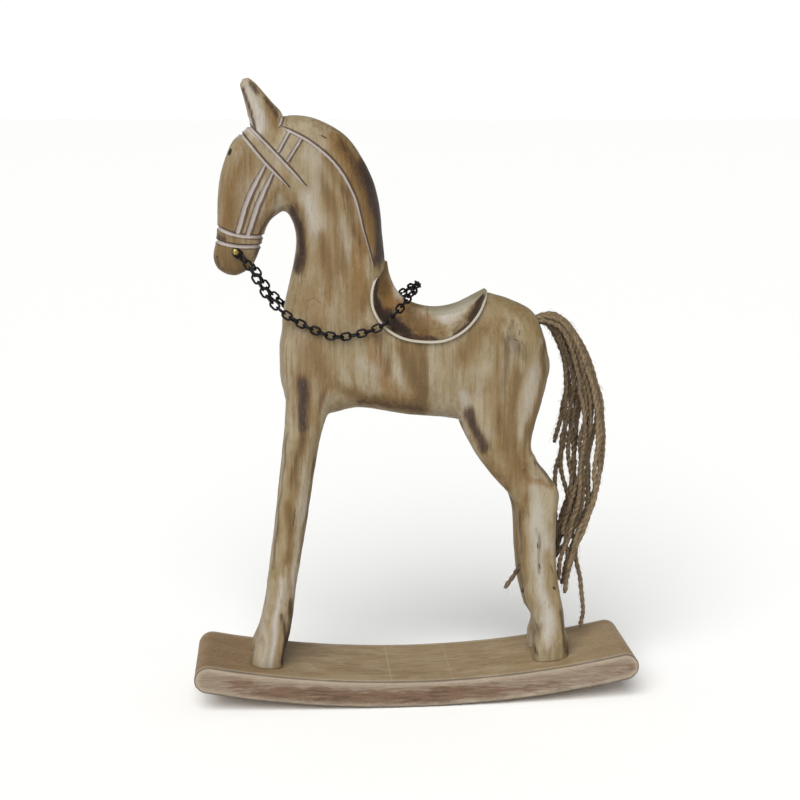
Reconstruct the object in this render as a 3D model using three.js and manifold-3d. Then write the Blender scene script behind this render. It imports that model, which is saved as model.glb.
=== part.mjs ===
// Rocking horse figurine: a carved wooden horse on a curved board, with a chain rein and a jute tail.
// Millimetres. The horse looks along -X, +Z is up, and the board's lowest line is at z = 0.
import * as THREE from 'three';
import { mergeVertices } from 'three/addons/utils/BufferGeometryUtils.js';
import Module from 'manifold-3d';

const wasm = await Module();
wasm.setup();

// Rocker board, bent to a circle that its underside lies on
const rockerLength = 300;
const rockerWidth = 68;
const rockerThickness = 19;
const rockerRadius = 703;
const rockerEdge = 0.8;
const rockerFacets = 9;
const rockerEndFacets = 4;

// Horse, drawn in hundredths of its height above the soles
const horseHeight = 388.5;
const unit = horseHeight / 100;
const hoofReach = 25 * unit;

// Gap between pieces that touch
const gap = 0.3;

// Corners of each carved form's sections, and their squareness, where 2 is an ellipse
const bodyForm = { corners: 14, squareness: 2.5 };
const headForm = { corners: 12, squareness: 3 };
const earForm = { corners: 8, squareness: 2.4 };
const legForm = { corners: 10, squareness: 2.5 };

// Saddle's rim, the hollow of its flaps, and the room cut free above it
const rimHeight = 1.6;
const rimWidth = 2.8;
const dishShare = 0.42;
const saddleRoom = 6.2;
const saddleBite = 0.3;

// Carved lines of the bridle and the mane, cut from a share of their depth above the surface
const grooveWidth = 2.4;
const grooveDepth = 1.1;
const grooveRiseShare = 3;

// Rein chain and the two nails that hold it
const linkLength = 7.3;
const linkWidth = 4.8;
const linkWire = 1.3;
const linkBite = 0.15;
const linkShoulderShare = 0.6;
const chainRoom = 1.2;
const nailRoom = 0.8;
const nailHeadRadius = 2;
const nailHeadHeight = 1.2;
const nailShankRadius = 0.6;
const nailDepth = 8;
const nailSides = 8;
const nailDomeSteps = 2;

// Tail of jute strands, glued into a drilled hole
const tailHoleRadius = 6.6;
const tailHoleDepth = 10;
const tailHoleSides = 14;
const strandRadius = 1.8;
const strandSides = 4;
const strandStep = 20;

const carvedWood = new THREE.MeshStandardMaterial({ color: 0xa8946f, roughness: 0.7, metalness: 0 });
const boardWood = new THREE.MeshStandardMaterial({ color: 0xa08a66, roughness: 0.75, metalness: 0 });
const blackenedSteel = new THREE.MeshStandardMaterial({ color: 0x24232a, roughness: 0.45, metalness: 0.8 });
const brass = new THREE.MeshStandardMaterial({ color: 0xa98a4a, roughness: 0.4, metalness: 0.9 });
const jute = new THREE.MeshStandardMaterial({ color: 0x7d6848, roughness: 0.95, metalness: 0 });

// Half the angle that the board spans, and the height of the centre that it is bent around
const boardAngle = Math.asin((rockerLength - rockerThickness) / (2 * rockerRadius - rockerThickness));
const curveCentre = rockerRadius * Math.cos(boardAngle / rockerFacets);

// Height of the board's top face at a distance from its middle
function boardTop(x) {
  return curveCentre - Math.sqrt((rockerRadius - rockerThickness) ** 2 - x ** 2);
}

const standHeight = boardTop(hoofReach);

// A point of the horse, from its drawn place in side view and its distance from the middle plane in mm
function place(x, z, y = 0) {
  return new THREE.Vector3(x * unit, y, standHeight + z * unit);
}

function solidFrom(geometry) {
  const plain = geometry.clone();
  plain.deleteAttribute('normal');
  plain.deleteAttribute('uv');
  const closed = mergeVertices(plain, 1e-4);
  const vertProperties = new Float32Array(closed.attributes.position.array);
  const triVerts = new Uint32Array(closed.index.array);
  return new wasm.Manifold(new wasm.Mesh({ numProp: 3, vertProperties, triVerts }));
}

function geometryFrom(solid) {
  const { vertProperties, triVerts } = solid.getMesh();
  const geometry = new THREE.BufferGeometry();
  geometry.setAttribute('position', new THREE.BufferAttribute(vertProperties, 3));
  geometry.setIndex(new THREE.BufferAttribute(triVerts, 1));
  geometry.computeVertexNormals();
  return geometry;
}

function namedMesh(name, geometry, material) {
  const mesh = new THREE.Mesh(geometry, material);
  mesh.name = name;
  return mesh;
}

function signedVolume(points, faces) {
  let volume = 0;
  for (let i = 0; i < faces.length; i += 3) {
    const [a, b, c] = [points[faces[i]], points[faces[i + 1]], points[faces[i + 2]]];
    volume += a.dot(new THREE.Vector3().crossVectors(b, c)) / 6;
  }
  return volume;
}

// A closed skin over rings of points. Each end is closed around the middle of its ring,
// or, with closed set, the last ring joins the first.
function skin(rings, closed = false) {
  const count = rings[0].length;
  const points = rings.flat();
  const faces = [];
  const strips = closed ? rings.length : rings.length - 1;
  for (let r = 0; r < strips; r++) {
    const next = ((r + 1) % rings.length) * count;
    for (let i = 0; i < count; i++) {
      const j = (i + 1) % count;
      faces.push(r * count + i, r * count + j, next + j);
      faces.push(r * count + i, next + j, next + i);
    }
  }
  if (!closed) {
    for (const [first, flip] of [[0, true], [(rings.length - 1) * count, false]]) {
      const ring = points.slice(first, first + count);
      const middle = ring.reduce((sum, p) => sum.add(p), new THREE.Vector3()).divideScalar(count);
      const hub = points.push(middle) - 1;
      for (let i = 0; i < count; i++) {
        const j = (i + 1) % count;
        faces.push(hub, first + (flip ? j : i), first + (flip ? i : j));
      }
    }
  }
  if (signedVolume(points, faces) < 0) faces.reverse();
  const geometry = new THREE.BufferGeometry().setFromPoints(points);
  geometry.setIndex(faces);
  return geometry;
}

// A rounded section of the horse across the line from its front point to its back point.
// half is its half width, side how far its middle lies from the horse's middle plane.
function section([frontX, frontZ, backX, backZ, half, side = 0], { corners, squareness }) {
  const ring = [];
  for (let i = 0; i < corners; i++) {
    const turn = (2 * Math.PI * (i + 0.5)) / corners;
    const along = Math.sign(Math.cos(turn)) * Math.abs(Math.cos(turn)) ** (2 / squareness);
    const across = Math.sign(Math.sin(turn)) * Math.abs(Math.sin(turn)) ** (2 / squareness);
    const share = (1 + along) / 2;
    const x = frontX + (backX - frontX) * share;
    const z = frontZ + (backZ - frontZ) * share;
    ring.push(place(x, z, (side + half * across) * unit));
  }
  return ring;
}

function carved(stations, form) {
  return solidFrom(skin(stations.map((station) => section(station, form))));
}

// Stations run through each form as [frontX, frontZ, backX, backZ, half width, side]
function torso() {
  return carved([
    [-22.6, 48.5, -22.8, 57.5, 3.2],
    [-22.0, 46.2, -22.2, 60.5, 4.7],
    [-19.8, 44.8, -20.4, 63.0, 5.8],
    [-14.8, 44.2, -15.5, 64.5, 6.2],
    [-10.0, 45.1, -9.5, 64.5, 6.3],
    [-2.0, 43.8, -1.0, 63.2, 6.3],
    [5.0, 43.1, 5.0, 63.2, 6.3],
    [9.5, 42.2, 11.0, 64.6, 6.3],
    [13.2, 41.2, 14.4, 63.9, 6.2],
    [17.0, 41.2, 18.0, 62.5, 5.8],
    [20.0, 42.6, 20.3, 60.9, 5.0],
    [21.7, 45.6, 21.9, 57.4, 3.8],
    [22.7, 49.5, 22.8, 53.6, 2.0],
  ], bodyForm);
}

function neck() {
  return carved([
    [-26.0, 81.0, -25.6, 92.3, 3.4],
    [-23.2, 79.3, -22.0, 93.9, 3.9],
    [-21.7, 78.5, -18.1, 93.9, 4.1],
    [-21.1, 77.7, -14.9, 92.8, 4.2],
    [-20.6, 76.7, -11.6, 90.7, 4.2],
    [-20.3, 75.9, -9.1, 87.4, 4.2],
    [-20.1, 74.9, -7.1, 83.4, 4.3],
    [-20.0, 73.4, -6.1, 79.3, 4.4],
    [-20.3, 71.0, -5.6, 74.6, 4.5],
    [-21.0, 67.6, -5.2, 70.0, 4.8],
    [-22.0, 63.5, -4.6, 64.5, 5.3],
    [-22.6, 59.3, -5.0, 59.0, 5.8],
    [-21.8, 56.0, -8.0, 54.5, 5.4],
  ], bodyForm);
}

function head() {
  return carved([
    [-26.9, 92.8, -22.2, 92.6, 2.9],
    [-28.6, 91.3, -21.8, 88.0, 3.6],
    [-30.3, 89.7, -21.6, 84.2, 3.9],
    [-31.6, 86.7, -21.8, 80.6, 4.0],
    [-32.5, 83.4, -22.3, 78.6, 4.0],
    [-32.9, 79.6, -24.2, 77.0, 3.8],
    [-33.0, 76.0, -25.3, 74.8, 3.5],
    [-33.3, 73.6, -26.0, 72.2, 3.3],
    [-33.8, 71.0, -27.3, 69.6, 3.1],
    [-33.2, 69.2, -28.6, 68.5, 2.6],
    [-32.0, 68.3, -29.8, 67.9, 1.6],
  ], headForm);
}

function ear(side) {
  return carved([
    [-26.8, 90.5, -21.6, 90.9, 0.95, 2.3 * side],
    [-27.3, 93.0, -22.0, 94.2, 0.9, 2.35 * side],
    [-27.9, 95.6, -23.7, 96.2, 0.8, 2.4 * side],
    [-28.4, 97.6, -25.0, 97.7, 0.65, 2.45 * side],
    [-28.7, 98.9, -26.3, 99.2, 0.5, 2.5 * side],
    [-28.3, 99.8, -27.3, 100.0, 0.25, 2.5 * side],
  ], earForm);
}

function foreleg(side) {
  return carved([
    [-21.8, 51.0, -13.0, 50.0, 2.6, 3.4 * side],
    [-22.2, 45.6, -15.0, 45.1, 2.65, 3.5 * side],
    [-22.5, 40.6, -16.5, 40.4, 2.4, 3.6 * side],
    [-23.0, 36.3, -17.3, 36.0, 2.2, 3.6 * side],
    [-23.6, 31.3, -18.1, 31.2, 2.0, 3.5 * side],
    [-24.4, 24.5, -19.1, 24.6, 1.85, 3.4 * side],
    [-25.2, 18.5, -20.2, 18.4, 1.8, 3.35 * side],
    [-25.9, 13.5, -21.0, 13.5, 1.75, 3.3 * side],
    [-26.6, 8.8, -21.6, 9.0, 1.7, 3.3 * side],
    [-27.5, 5.3, -22.2, 5.3, 1.95, 3.3 * side],
    [-28.4, 3.2, -22.9, 3.3, 2.25, 3.3 * side],
    [-29.1, 1.5, -23.3, 1.9, 2.45, 3.3 * side],
    [-29.1, -3.0, -23.5, -3.0, 2.45, 3.3 * side],
  ], legForm);
}

function hindLeg(side) {
  return carved([
    [8.5, 50.5, 21.4, 53.0, 2.5, 3.3 * side],
    [7.6, 43.5, 21.5, 47.0, 2.75, 3.4 * side],
    [9.6, 38.0, 20.1, 41.8, 2.6, 3.5 * side],
    [13.2, 33.0, 19.7, 37.6, 2.35, 3.5 * side],
    [16.2, 29.6, 21.9, 34.0, 2.15, 3.4 * side],
    [17.4, 26.6, 24.6, 30.3, 2.0, 3.35 * side],
    [17.8, 23.5, 24.3, 25.9, 1.9, 3.3 * side],
    [18.1, 19.3, 24.3, 20.1, 1.85, 3.3 * side],
    [18.5, 15.1, 24.6, 15.2, 1.8, 3.3 * side],
    [19.2, 11.2, 25.3, 11.3, 1.75, 3.3 * side],
    [20.2, 8.0, 26.0, 8.2, 1.75, 3.3 * side],
    [21.5, 5.1, 26.3, 5.0, 1.85, 3.3 * side],
    [21.2, 3.2, 27.0, 3.2, 2.25, 3.3 * side],
    [20.8, 1.2, 27.1, 1.5, 2.4, 3.3 * side],
    [20.8, -3.0, 27.1, -3.0, 2.4, 3.3 * side],
  ], legForm);
}

// Saddle, as sections from the tip of the pommel under the flaps to the tip of the cantle.
// Each is [rimX, rimZ, seatX, seatZ, half width at the rim, half width of the seat, crown of the seat].
const saddleStations = [
  [-5.3, 70.1, -4.8, 69.9, 0.9, 0.5, 0.05],
  [-6.9, 68.0, -4.4, 67.8, 3.4, 0.7, 0.1],
  [-7.9, 65.3, -3.5, 65.6, 4.9, 0.9, 0.1],
  [-7.7, 62.5, -2.3, 64.1, 5.7, 1.2, 0.1],
  [-6.1, 59.8, -0.8, 63.1, 6.3, 1.5, 0.15],
  [-3.2, 57.8, 0.9, 62.5, 6.65, 1.9, 0.2],
  [0.6, 57.0, 2.8, 62.2, 6.75, 2.2, 0.25],
  [4.5, 57.2, 4.8, 62.3, 6.75, 2.3, 0.4],
  [7.8, 58.9, 6.9, 62.8, 6.55, 2.4, 0.6],
  [10.2, 61.5, 8.9, 63.7, 5.9, 2.3, 0.6],
  [11.5, 63.8, 10.7, 64.6, 4.2, 1.8, 0.3],
  [12.0, 65.0, 11.8, 65.2, 1.6, 0.8, 0.05],
];

// Points from the rim up the dished flap to the middle of the seat, as [height over the rim, half width]
function flapLine([rimX, rimZ, seatX, seatZ, rimHalf, seatHalf, crown]) {
  const reach = Math.hypot(seatX - rimX, seatZ - rimZ);
  const face = Math.min(rimHeight / unit, reach / 3);
  const foot = rimHalf - Math.min(rimWidth / unit, rimHalf / 3);
  const ridge = reach - crown;
  const dishHeight = face + (ridge - face) * dishShare;
  const dishHalf = seatHalf + (foot - seatHalf) * dishShare;
  const flap = [[0, rimHalf], [face, rimHalf], [face + 0.05, foot], [dishHeight, dishHalf]];
  return [...flap, [ridge, seatHalf], [reach, 0]];
}

// A form whose sections are each given by half of their outline, across the saddle's stations
function overSaddle(halfOutline) {
  const rings = saddleStations.map((station) => {
    const [rimX, rimZ, seatX, seatZ] = station;
    const reach = Math.hypot(seatX - rimX, seatZ - rimZ);
    const half = halfOutline(station);
    const far = half.filter(([, width]) => width > 0).reverse().map(([height, width]) => [height, -width]);
    return [...half, ...far].map(([height, width]) => {
      const share = height / reach;
      return place(rimX + (seatX - rimX) * share, rimZ + (seatZ - rimZ) * share, width * unit);
    });
  });
  return solidFrom(skin(rings));
}

// The room above the saddle, which starts a little way inside it
function roomLine(station) {
  const bite = saddleBite / unit;
  const inset = ([height, width]) => [height - bite, Math.max(width - bite, 0)];
  const [, ...flap] = flapLine(station).map(inset);
  const [, rimHalf] = flap[0];
  const top = flap[flap.length - 1][0] + saddleRoom / unit;
  return [[top, rimHalf], ...flap];
}

// Everything under the board's top face, raised by the gap, so that the soles follow its curve
function boardCutter() {
  const radius = rockerRadius - rockerThickness - gap;
  const depth = 10 * unit;
  const shape = new THREE.Shape(arcPoints(radius, 1));
  shape.lineTo(rockerLength / 2, -depth);
  shape.lineTo(-rockerLength / 2, -depth);
  return solidFrom(extrudeAcross(shape, 2 * rockerWidth, 0));
}

// Points on a circle around the board's centre of curvature, from one end to the other
function arcPoints(radius, direction) {
  const points = [];
  for (let i = 0; i <= rockerFacets; i++) {
    const turn = direction * boardAngle * ((2 * i) / rockerFacets - 1);
    points.push(new THREE.Vector2(radius * Math.sin(turn), curveCentre - radius * Math.cos(turn)));
  }
  return points;
}

// Extrudes a side view shape across the horse, centred on its middle plane
function extrudeAcross(shape, width, edge) {
  const geometry = new THREE.ExtrudeGeometry(shape, {
    depth: width - 2 * edge,
    bevelEnabled: edge > 0,
    bevelThickness: edge,
    bevelSize: edge,
    bevelOffset: -edge,
    bevelSegments: 1,
  });
  geometry.translate(0, 0, -(width - 2 * edge) / 2);
  geometry.rotateX(Math.PI / 2);
  return geometry;
}

// Half circle around the end of the board, from its lower face to its upper one
function boardEnd(direction) {
  const radius = rockerThickness / 2;
  const middleRadius = rockerRadius - radius;
  const turn = boardAngle * direction;
  const centreX = middleRadius * Math.sin(turn);
  const centreZ = curveCentre - middleRadius * Math.cos(turn);
  const points = [];
  for (let i = 1; i < rockerEndFacets; i++) {
    const share = direction > 0 ? i / rockerEndFacets : 1 - i / rockerEndFacets;
    const angle = turn - Math.PI / 2 + direction * Math.PI * share;
    points.push(new THREE.Vector2(centreX + radius * Math.cos(angle), centreZ + radius * Math.sin(angle)));
  }
  return points;
}

function rocker() {
  const lower = arcPoints(rockerRadius, 1);
  const upper = arcPoints(rockerRadius - rockerThickness, -1);
  const shape = new THREE.Shape([...lower, ...boardEnd(1), ...upper, ...boardEnd(-1)]);
  return solidFrom(extrudeAcross(shape, rockerWidth, rockerEdge));
}

// Distance from the middle plane to the horse's side at a drawn point of the side view
function sideFinder(geometry) {
  const mesh = new THREE.Mesh(geometry, carvedWood);
  const ray = new THREE.Raycaster();
  const start = rockerWidth * 2;
  return (x, z) => {
    ray.set(place(x, z, start), new THREE.Vector3(0, -1, 0));
    const hits = ray.intersectObject(mesh);
    return hits.length ? hits[0].point.y : 0;
  };
}

// V cut that follows the horse's side along drawn points
function groove(points, side, sideAt) {
  const rings = points.map(([x, z], i) => {
    const [beforeX, beforeZ] = points[Math.max(i - 1, 0)];
    const [afterX, afterZ] = points[Math.min(i + 1, points.length - 1)];
    const across = new THREE.Vector3(beforeZ - afterZ, 0, afterX - beforeX);
    across.setLength((grooveWidth / 2) * (1 + grooveRiseShare));
    const surface = sideAt(x, z);
    const bottom = place(x, z, side * (surface - grooveDepth));
    const top = place(x, z, side * (surface + grooveDepth * grooveRiseShare));
    return [bottom, top.clone().add(across), top.clone().sub(across)];
  });
  return solidFrom(skin(rings));
}

const bridleAndMane = [
  [[-27.3, 92.2], [-23.7, 88.5], [-18.3, 82.7]],
  [[-29.2, 91.6], [-25.0, 86.6], [-21.1, 82.6]],
  [[-21.0, 91.4], [-22.7, 88.4]],
  [[-19.1, 90.2], [-21.2, 86.9]],
  [[-25.0, 86.0], [-27.6, 81.0], [-29.5, 75.4]],
  [[-23.8, 84.7], [-26.1, 79.9], [-27.9, 74.8]],
  [[-33.6, 76.2], [-29.9, 74.8], [-24.9, 74.3]],
  [[-33.9, 73.9], [-30.0, 73.0], [-25.6, 72.8]],
  [[-21.9, 92.1], [-17.6, 89.8], [-13.4, 86.1], [-10.5, 81.1], [-9.0, 75.5], [-7.2, 69.4]],
];

const tailMouth = place(20.8, 59.5);
const tailDirection = new THREE.Vector3(0.9, 0, 0.44).normalize();

// A round bar from a distance inside the tail's mouth to a distance outside it
function tailBar(radius, inside, outside) {
  const bar = new THREE.CylinderGeometry(radius, radius, inside + outside, tailHoleSides);
  bar.translate(0, (outside - inside) / 2, 0);
  bar.applyQuaternion(new THREE.Quaternion().setFromUnitVectors(new THREE.Vector3(0, 1, 0), tailDirection));
  bar.translate(tailMouth.x, tailMouth.y, tailMouth.z);
  return solidFrom(bar);
}

const nailPlace = [-30.0, 72.1];

function nailHole(side, sideAt) {
  const radius = nailShankRadius + gap;
  const length = nailDepth + gap + grooveDepth;
  const bar = new THREE.CylinderGeometry(radius, radius, length, nailSides);
  const point = place(...nailPlace, side * (sideAt(...nailPlace) + grooveDepth - length / 2));
  bar.translate(point.x, point.y, point.z);
  return solidFrom(bar);
}

function carvedHorse() {
  const forms = [torso(), neck(), head()];
  for (const side of [-1, 1]) forms.push(ear(side), foreleg(side), hindLeg(side));
  const rough = wasm.Manifold.union(forms).subtract(overSaddle(roomLine)).add(overSaddle(flapLine));
  const sideAt = sideFinder(geometryFrom(rough));
  const cuts = [boardCutter(), tailBar(tailHoleRadius, tailHoleDepth, 2 * tailHoleRadius)];
  for (const side of [-1, 1]) {
    for (const line of bridleAndMane) cuts.push(groove(line, side, sideAt));
    cuts.push(nailHole(side, sideAt));
  }
  return { solid: rough.subtract(wasm.Manifold.union(cuts)), sideAt };
}

const { solid: horseSolid, sideAt } = carvedHorse();
const cheek = sideAt(...nailPlace);

// Nail with a low domed head, clear of the cheek by the chain link that hangs on it
function nail(side) {
  const headSeat = cheek + nailRoom + linkWire + gap;
  const profile = [
    new THREE.Vector2(0, cheek - nailDepth),
    new THREE.Vector2(nailShankRadius, cheek - nailDepth),
    new THREE.Vector2(nailShankRadius, headSeat),
  ];
  for (let i = 0; i <= nailDomeSteps; i++) {
    const turn = (Math.PI / 2) * (i / nailDomeSteps);
    const radius = i === nailDomeSteps ? 0 : nailHeadRadius * Math.cos(turn);
    profile.push(new THREE.Vector2(radius, headSeat + nailHeadHeight * Math.sin(turn)));
  }
  const geometry = new THREE.LatheGeometry(profile, nailSides);
  if (side < 0) geometry.rotateX(Math.PI);
  const point = place(...nailPlace);
  geometry.translate(point.x, 0, point.z);
  return solidFrom(geometry);
}

// Drawn route of the chain on one side, free from the nail to the shoulder and then over the seat.
// A third number is the distance from the middle plane. Without it the chain lies against the horse.
const chainRoute = [
  [-28.3, 70.4, 4.2],
  [-27.0, 68.3, 4.6],
  [-24.5, 64.1, 5.3],
  [-22.1, 61.3, 6.0],
  [-18.7, 59.6],
  [-13.9, 58.3],
  [-9.7, 58.8, 7.1],
  [-6.2, 60.1, 7.3],
  [-3.7, 62.2, 6.5],
  [-1.8, 64.0, 4.4],
  [-0.4, 65.3, 2.2],
  [0.4, 66.0, 0],
];

function chainCurve() {
  const clearance = linkWidth / 2 + chainRoom;
  const near = chainRoute.map(([x, z, side]) => {
    const out = side === undefined ? sideAt(x, z) + clearance : side * unit;
    return place(x, z, -out);
  });
  const startSide = -(cheek + nailRoom + linkWire / 2);
  const start = place(...nailPlace, startSide);
  near.unshift(place(-29.4, 71.55, startSide));
  const far = [...near.slice(0, -1), start].map((p) => new THREE.Vector3(p.x, -p.y, p.z));
  const back = far.slice(0, -1).reverse();
  return new THREE.CatmullRomCurve3([start, ...near, ...back, far[far.length - 1]], false, 'centripetal');
}

// One oval link, as a six-cornered ring of three-sided wire, turned about the chain's own line
function link(centre, along, turn) {
  const out = new THREE.Vector3(0, 1, 0).addScaledVector(along, -along.y).normalize();
  const across = new THREE.Vector3().crossVectors(along, out).applyAxisAngle(along, turn);
  const flat = new THREE.Vector3().crossVectors(along, across);
  const halfLength = (linkLength - linkWire) / 2;
  const halfWidth = (linkWidth - linkWire) / 2;
  const bend = halfWidth * linkShoulderShare;
  const wire = linkWire / 2;
  const corners = [
    [halfLength, bend], [halfLength, -bend], [0, -halfWidth],
    [-halfLength, -bend], [-halfLength, bend], [0, halfWidth],
  ];
  const rings = corners.map(([u, v]) => {
    const corner = centre.clone().addScaledVector(along, u).addScaledVector(across, v);
    const outward = new THREE.Vector3().addScaledVector(along, Math.sign(u) * wire);
    outward.addScaledVector(across, u === 0 ? Math.sign(v) * wire : 0);
    const outer = corner.clone().add(outward);
    return [
      corner.clone().sub(outward),
      outer.clone().addScaledVector(flat, wire),
      outer.clone().addScaledVector(flat, -wire),
    ];
  });
  return solidFrom(skin(rings, true));
}

// Links that hang in one another from nail to nail, twisting to lie at a slant along the body
function reinChain() {
  const curve = chainCurve();
  const length = curve.getLength();
  const hook = linkLength / 2 - linkWire - nailShankRadius - gap;
  const span = length - 2 * hook;
  const links = 2 * Math.floor(span / (linkLength - 2 * linkWire + linkBite) / 2);
  const parts = [];
  for (let i = 0; i <= links; i++) {
    const share = (hook + (span * i) / links) / length;
    const slant = i % links === 0 ? 0 : Math.PI / 4;
    const turn = (Math.PI / 2) * (i % 2) + slant;
    parts.push(link(curve.getPointAt(share), curve.getTangentAt(share), turn));
  }
  return wasm.Manifold.union(parts);
}

// Strands of the tail. Each has its distance from the middle plane at the root, halfway and at its end,
// then points of its side view in mm from the mouth of the tail hole.
const tailStrands = [
  [0, 4, 8, [[2, 3.5], [11, 4.5], [18, 0.5], [25, -7], [33, -19], [40, -37], [47, -63], [48.5, -86],
    [46, -109], [38, -134], [32, -156], [35, -182], [38.5, -205], [38, -219]]],
  [-3, -4, -3, [[2, 2.8], [13, 1.5], [23, -8], [32, -26], [39, -47], [43, -75], [41, -103], [42, -119],
    [36, -141], [27, -167], [22, -190]]],
  [3, 5, 4, [[2, 2.5], [14, 0], [25, -12], [32, -34], [36, -60], [37, -87], [39, -112], [37, -138],
    [28, -158], [22, -185]]],
  [-4, -6, -4, [[2, 0.5], [15, -4], [24, -22], [30, -46], [33, -73], [31, -102], [31, -124], [25, -145],
    [19, -167], [18, -179]]],
  [4, 1, 3, [[2, -1], [12, -6], [19, -23], [24, -49], [26, -76], [28, -100], [30, -121], [23, -142],
    [17, -164]]],
  [-1, -1, 0, [[4, 0.2], [12, -6.5], [19, -26], [21, -55], [20, -80], [16, -100], [15.5, -124],
    [16.5, -150]]],
  [1, 1, 2, [[4, -0.8], [10, -5], [15.5, -15], [20, -30], [21.5, -46], [19, -62], [14, -84]]],
  [0, 1, 0, [[2, -0.5], [15, -6], [25, -25], [30, -47], [26, -68], [24, -92], [27, -112], [22, -136],
    [13, -158], [-4, -174], [-16, -185]]],
  [-2, -3, -2, [[2, 2], [15, -2], [26, -18], [34, -42], [38, -65], [34, -90], [33, -108], [28, -132],
    [23, -152], [25, -170], [23, -188]]],
  [2, 2, 0, [[2, 0.5], [16, -5], [26, -28], [31, -52], [28, -80], [28, -105], [24, -128], [15, -152],
    [4, -170], [-6, -189]]],
  [-1, -2, -5, [[2, 3], [12, 3.5], [21, -3], [30, -18], [37, -38], [44, -64], [45, -90], [44, -112],
    [37, -132], [30, -150], [24, -172]]],
  [1, 6, 5, [[2, 1], [14, -3], [22, -19], [27, -42], [30, -70], [29, -96], [26, -120], [20, -142],
    [16, -160]]],
];

function strandCurve([rootSide, middleSide, endSide, route]) {
  const last = route.length - 1;
  const points = route.map(([x, z], i) => {
    const share = i / last;
    const side = share < 0.5
      ? THREE.MathUtils.lerp(rootSide, middleSide, 2 * share)
      : THREE.MathUtils.lerp(middleSide, endSide, 2 * share - 1);
    return new THREE.Vector3(x, side, z).add(tailMouth);
  });
  const root = tailMouth.clone().addScaledVector(tailDirection, -strandRadius);
  return new THREE.CatmullRomCurve3([root, ...points], false, 'centripetal');
}

function strand(description) {
  const curve = strandCurve(description);
  const shape = new THREE.Shape();
  for (let i = 0; i < strandSides; i++) {
    const turn = (2 * Math.PI * i) / strandSides;
    const corner = [strandRadius * Math.cos(turn), strandRadius * Math.sin(turn)];
    if (i === 0) shape.moveTo(...corner);
    else shape.lineTo(...corner);
  }
  const steps = Math.round(curve.getLength() / strandStep);
  return solidFrom(new THREE.ExtrudeGeometry(shape, { steps, extrudePath: curve, bevelEnabled: false }));
}

function tail() {
  const bound = tailBar(tailHoleRadius - gap, tailHoleDepth - gap, gap);
  return wasm.Manifold.union([bound, ...tailStrands.map(strand)]);
}

const figurine = new THREE.Group();
figurine.add(namedMesh('rocker', geometryFrom(rocker()), boardWood));
figurine.add(namedMesh('horse', geometryFrom(horseSolid), carvedWood));
figurine.add(namedMesh('rein_nail_near', geometryFrom(nail(-1)), brass.clone()));
figurine.add(namedMesh('rein_nail_far', geometryFrom(nail(1)), brass.clone()));
figurine.add(namedMesh('rein_chain', geometryFrom(reinChain()), blackenedSteel));
figurine.add(namedMesh('tail', geometryFrom(tail()), jute));

export default figurine;
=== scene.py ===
import math
import random

import bmesh
import bpy
import numpy as np
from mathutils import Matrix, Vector, noise
from mathutils.bvhtree import BVHTree
from mathutils.kdtree import KDTree


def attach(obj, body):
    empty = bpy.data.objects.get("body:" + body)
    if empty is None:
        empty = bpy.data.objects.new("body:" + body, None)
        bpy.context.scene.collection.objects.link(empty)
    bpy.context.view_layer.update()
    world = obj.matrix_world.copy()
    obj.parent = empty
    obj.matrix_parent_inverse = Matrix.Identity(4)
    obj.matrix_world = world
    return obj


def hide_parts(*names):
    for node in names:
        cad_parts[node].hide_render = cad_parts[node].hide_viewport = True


# Rocking horse figurine: a carved wooden horse on a curved board, with a chain rein and a jute tail.
# Lengths are in millimetres until a mesh is made. The horse looks along -X, its right is +Y and +Z is up.
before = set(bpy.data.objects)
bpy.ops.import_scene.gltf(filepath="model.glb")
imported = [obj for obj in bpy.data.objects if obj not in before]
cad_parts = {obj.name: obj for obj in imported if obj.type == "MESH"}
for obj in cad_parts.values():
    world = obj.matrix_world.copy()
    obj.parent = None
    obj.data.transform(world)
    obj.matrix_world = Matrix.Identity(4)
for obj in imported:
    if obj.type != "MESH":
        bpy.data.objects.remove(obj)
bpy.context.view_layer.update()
chance = random.Random(11)
scene = bpy.context.scene
scene.view_settings.view_transform = "Standard"


# ---- helpers for points and meshes

# Evenly spaced points on one smooth curve through the given ones, in any number of dimensions
def throughPoints(points, step):
    p = np.array(points, float)
    p = np.vstack([2 * p[0] - p[1], p, 2 * p[-1] - p[-2]])
    fine = []
    for i in range(1, len(p) - 2):
        t = np.cumsum([0] + [max(np.linalg.norm(p[k + 1] - p[k]), 1e-9) ** 0.5 for k in (i - 1, i, i + 1)])
        s = np.linspace(t[1], t[2], 24, endpoint=False)[:, None]

        def between(a, b, ta, tb):
            return ((tb - s) * a + (s - ta) * b) / (tb - ta)
        a1 = between(p[i - 1], p[i], t[0], t[1])
        a2 = between(p[i], p[i + 1], t[1], t[2])
        a3 = between(p[i + 1], p[i + 2], t[2], t[3])
        fine.append(between(between(a1, a2, t[0], t[2]), between(a2, a3, t[1], t[3]), t[1], t[2]))
    fine = np.vstack(fine + [p[-2:-1]])
    along = np.concatenate([[0], np.cumsum(np.linalg.norm(np.diff(fine, axis=0), axis=1))])
    at = np.linspace(0, along[-1], max(2, round(along[-1] / step) + 1))
    return np.stack([np.interp(at, along, fine[:, k]) for k in range(p.shape[1])], axis=1)


# How far each point is from a line of points, and how far along the line its nearest place is
def distanceTo(points, line):
    best, place, run = np.full(len(points), 1e9), np.zeros(len(points)), 0.0
    for a, b in zip(line[:-1], line[1:]):
        d = b - a
        length = max(np.linalg.norm(d), 1e-6)
        t = np.clip(((points - a) @ d) / length ** 2, 0, 1)
        away = np.linalg.norm(points - a - t[:, None] * d, axis=1)
        place = np.where(away < best, run + t * length, place)
        best = np.minimum(best, away)
        run += length
    return best, place


def smoothStep(value, low, high):
    t = np.clip((value - low) / (high - low), 0, 1)
    return t * t * (3 - 2 * t)


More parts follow.
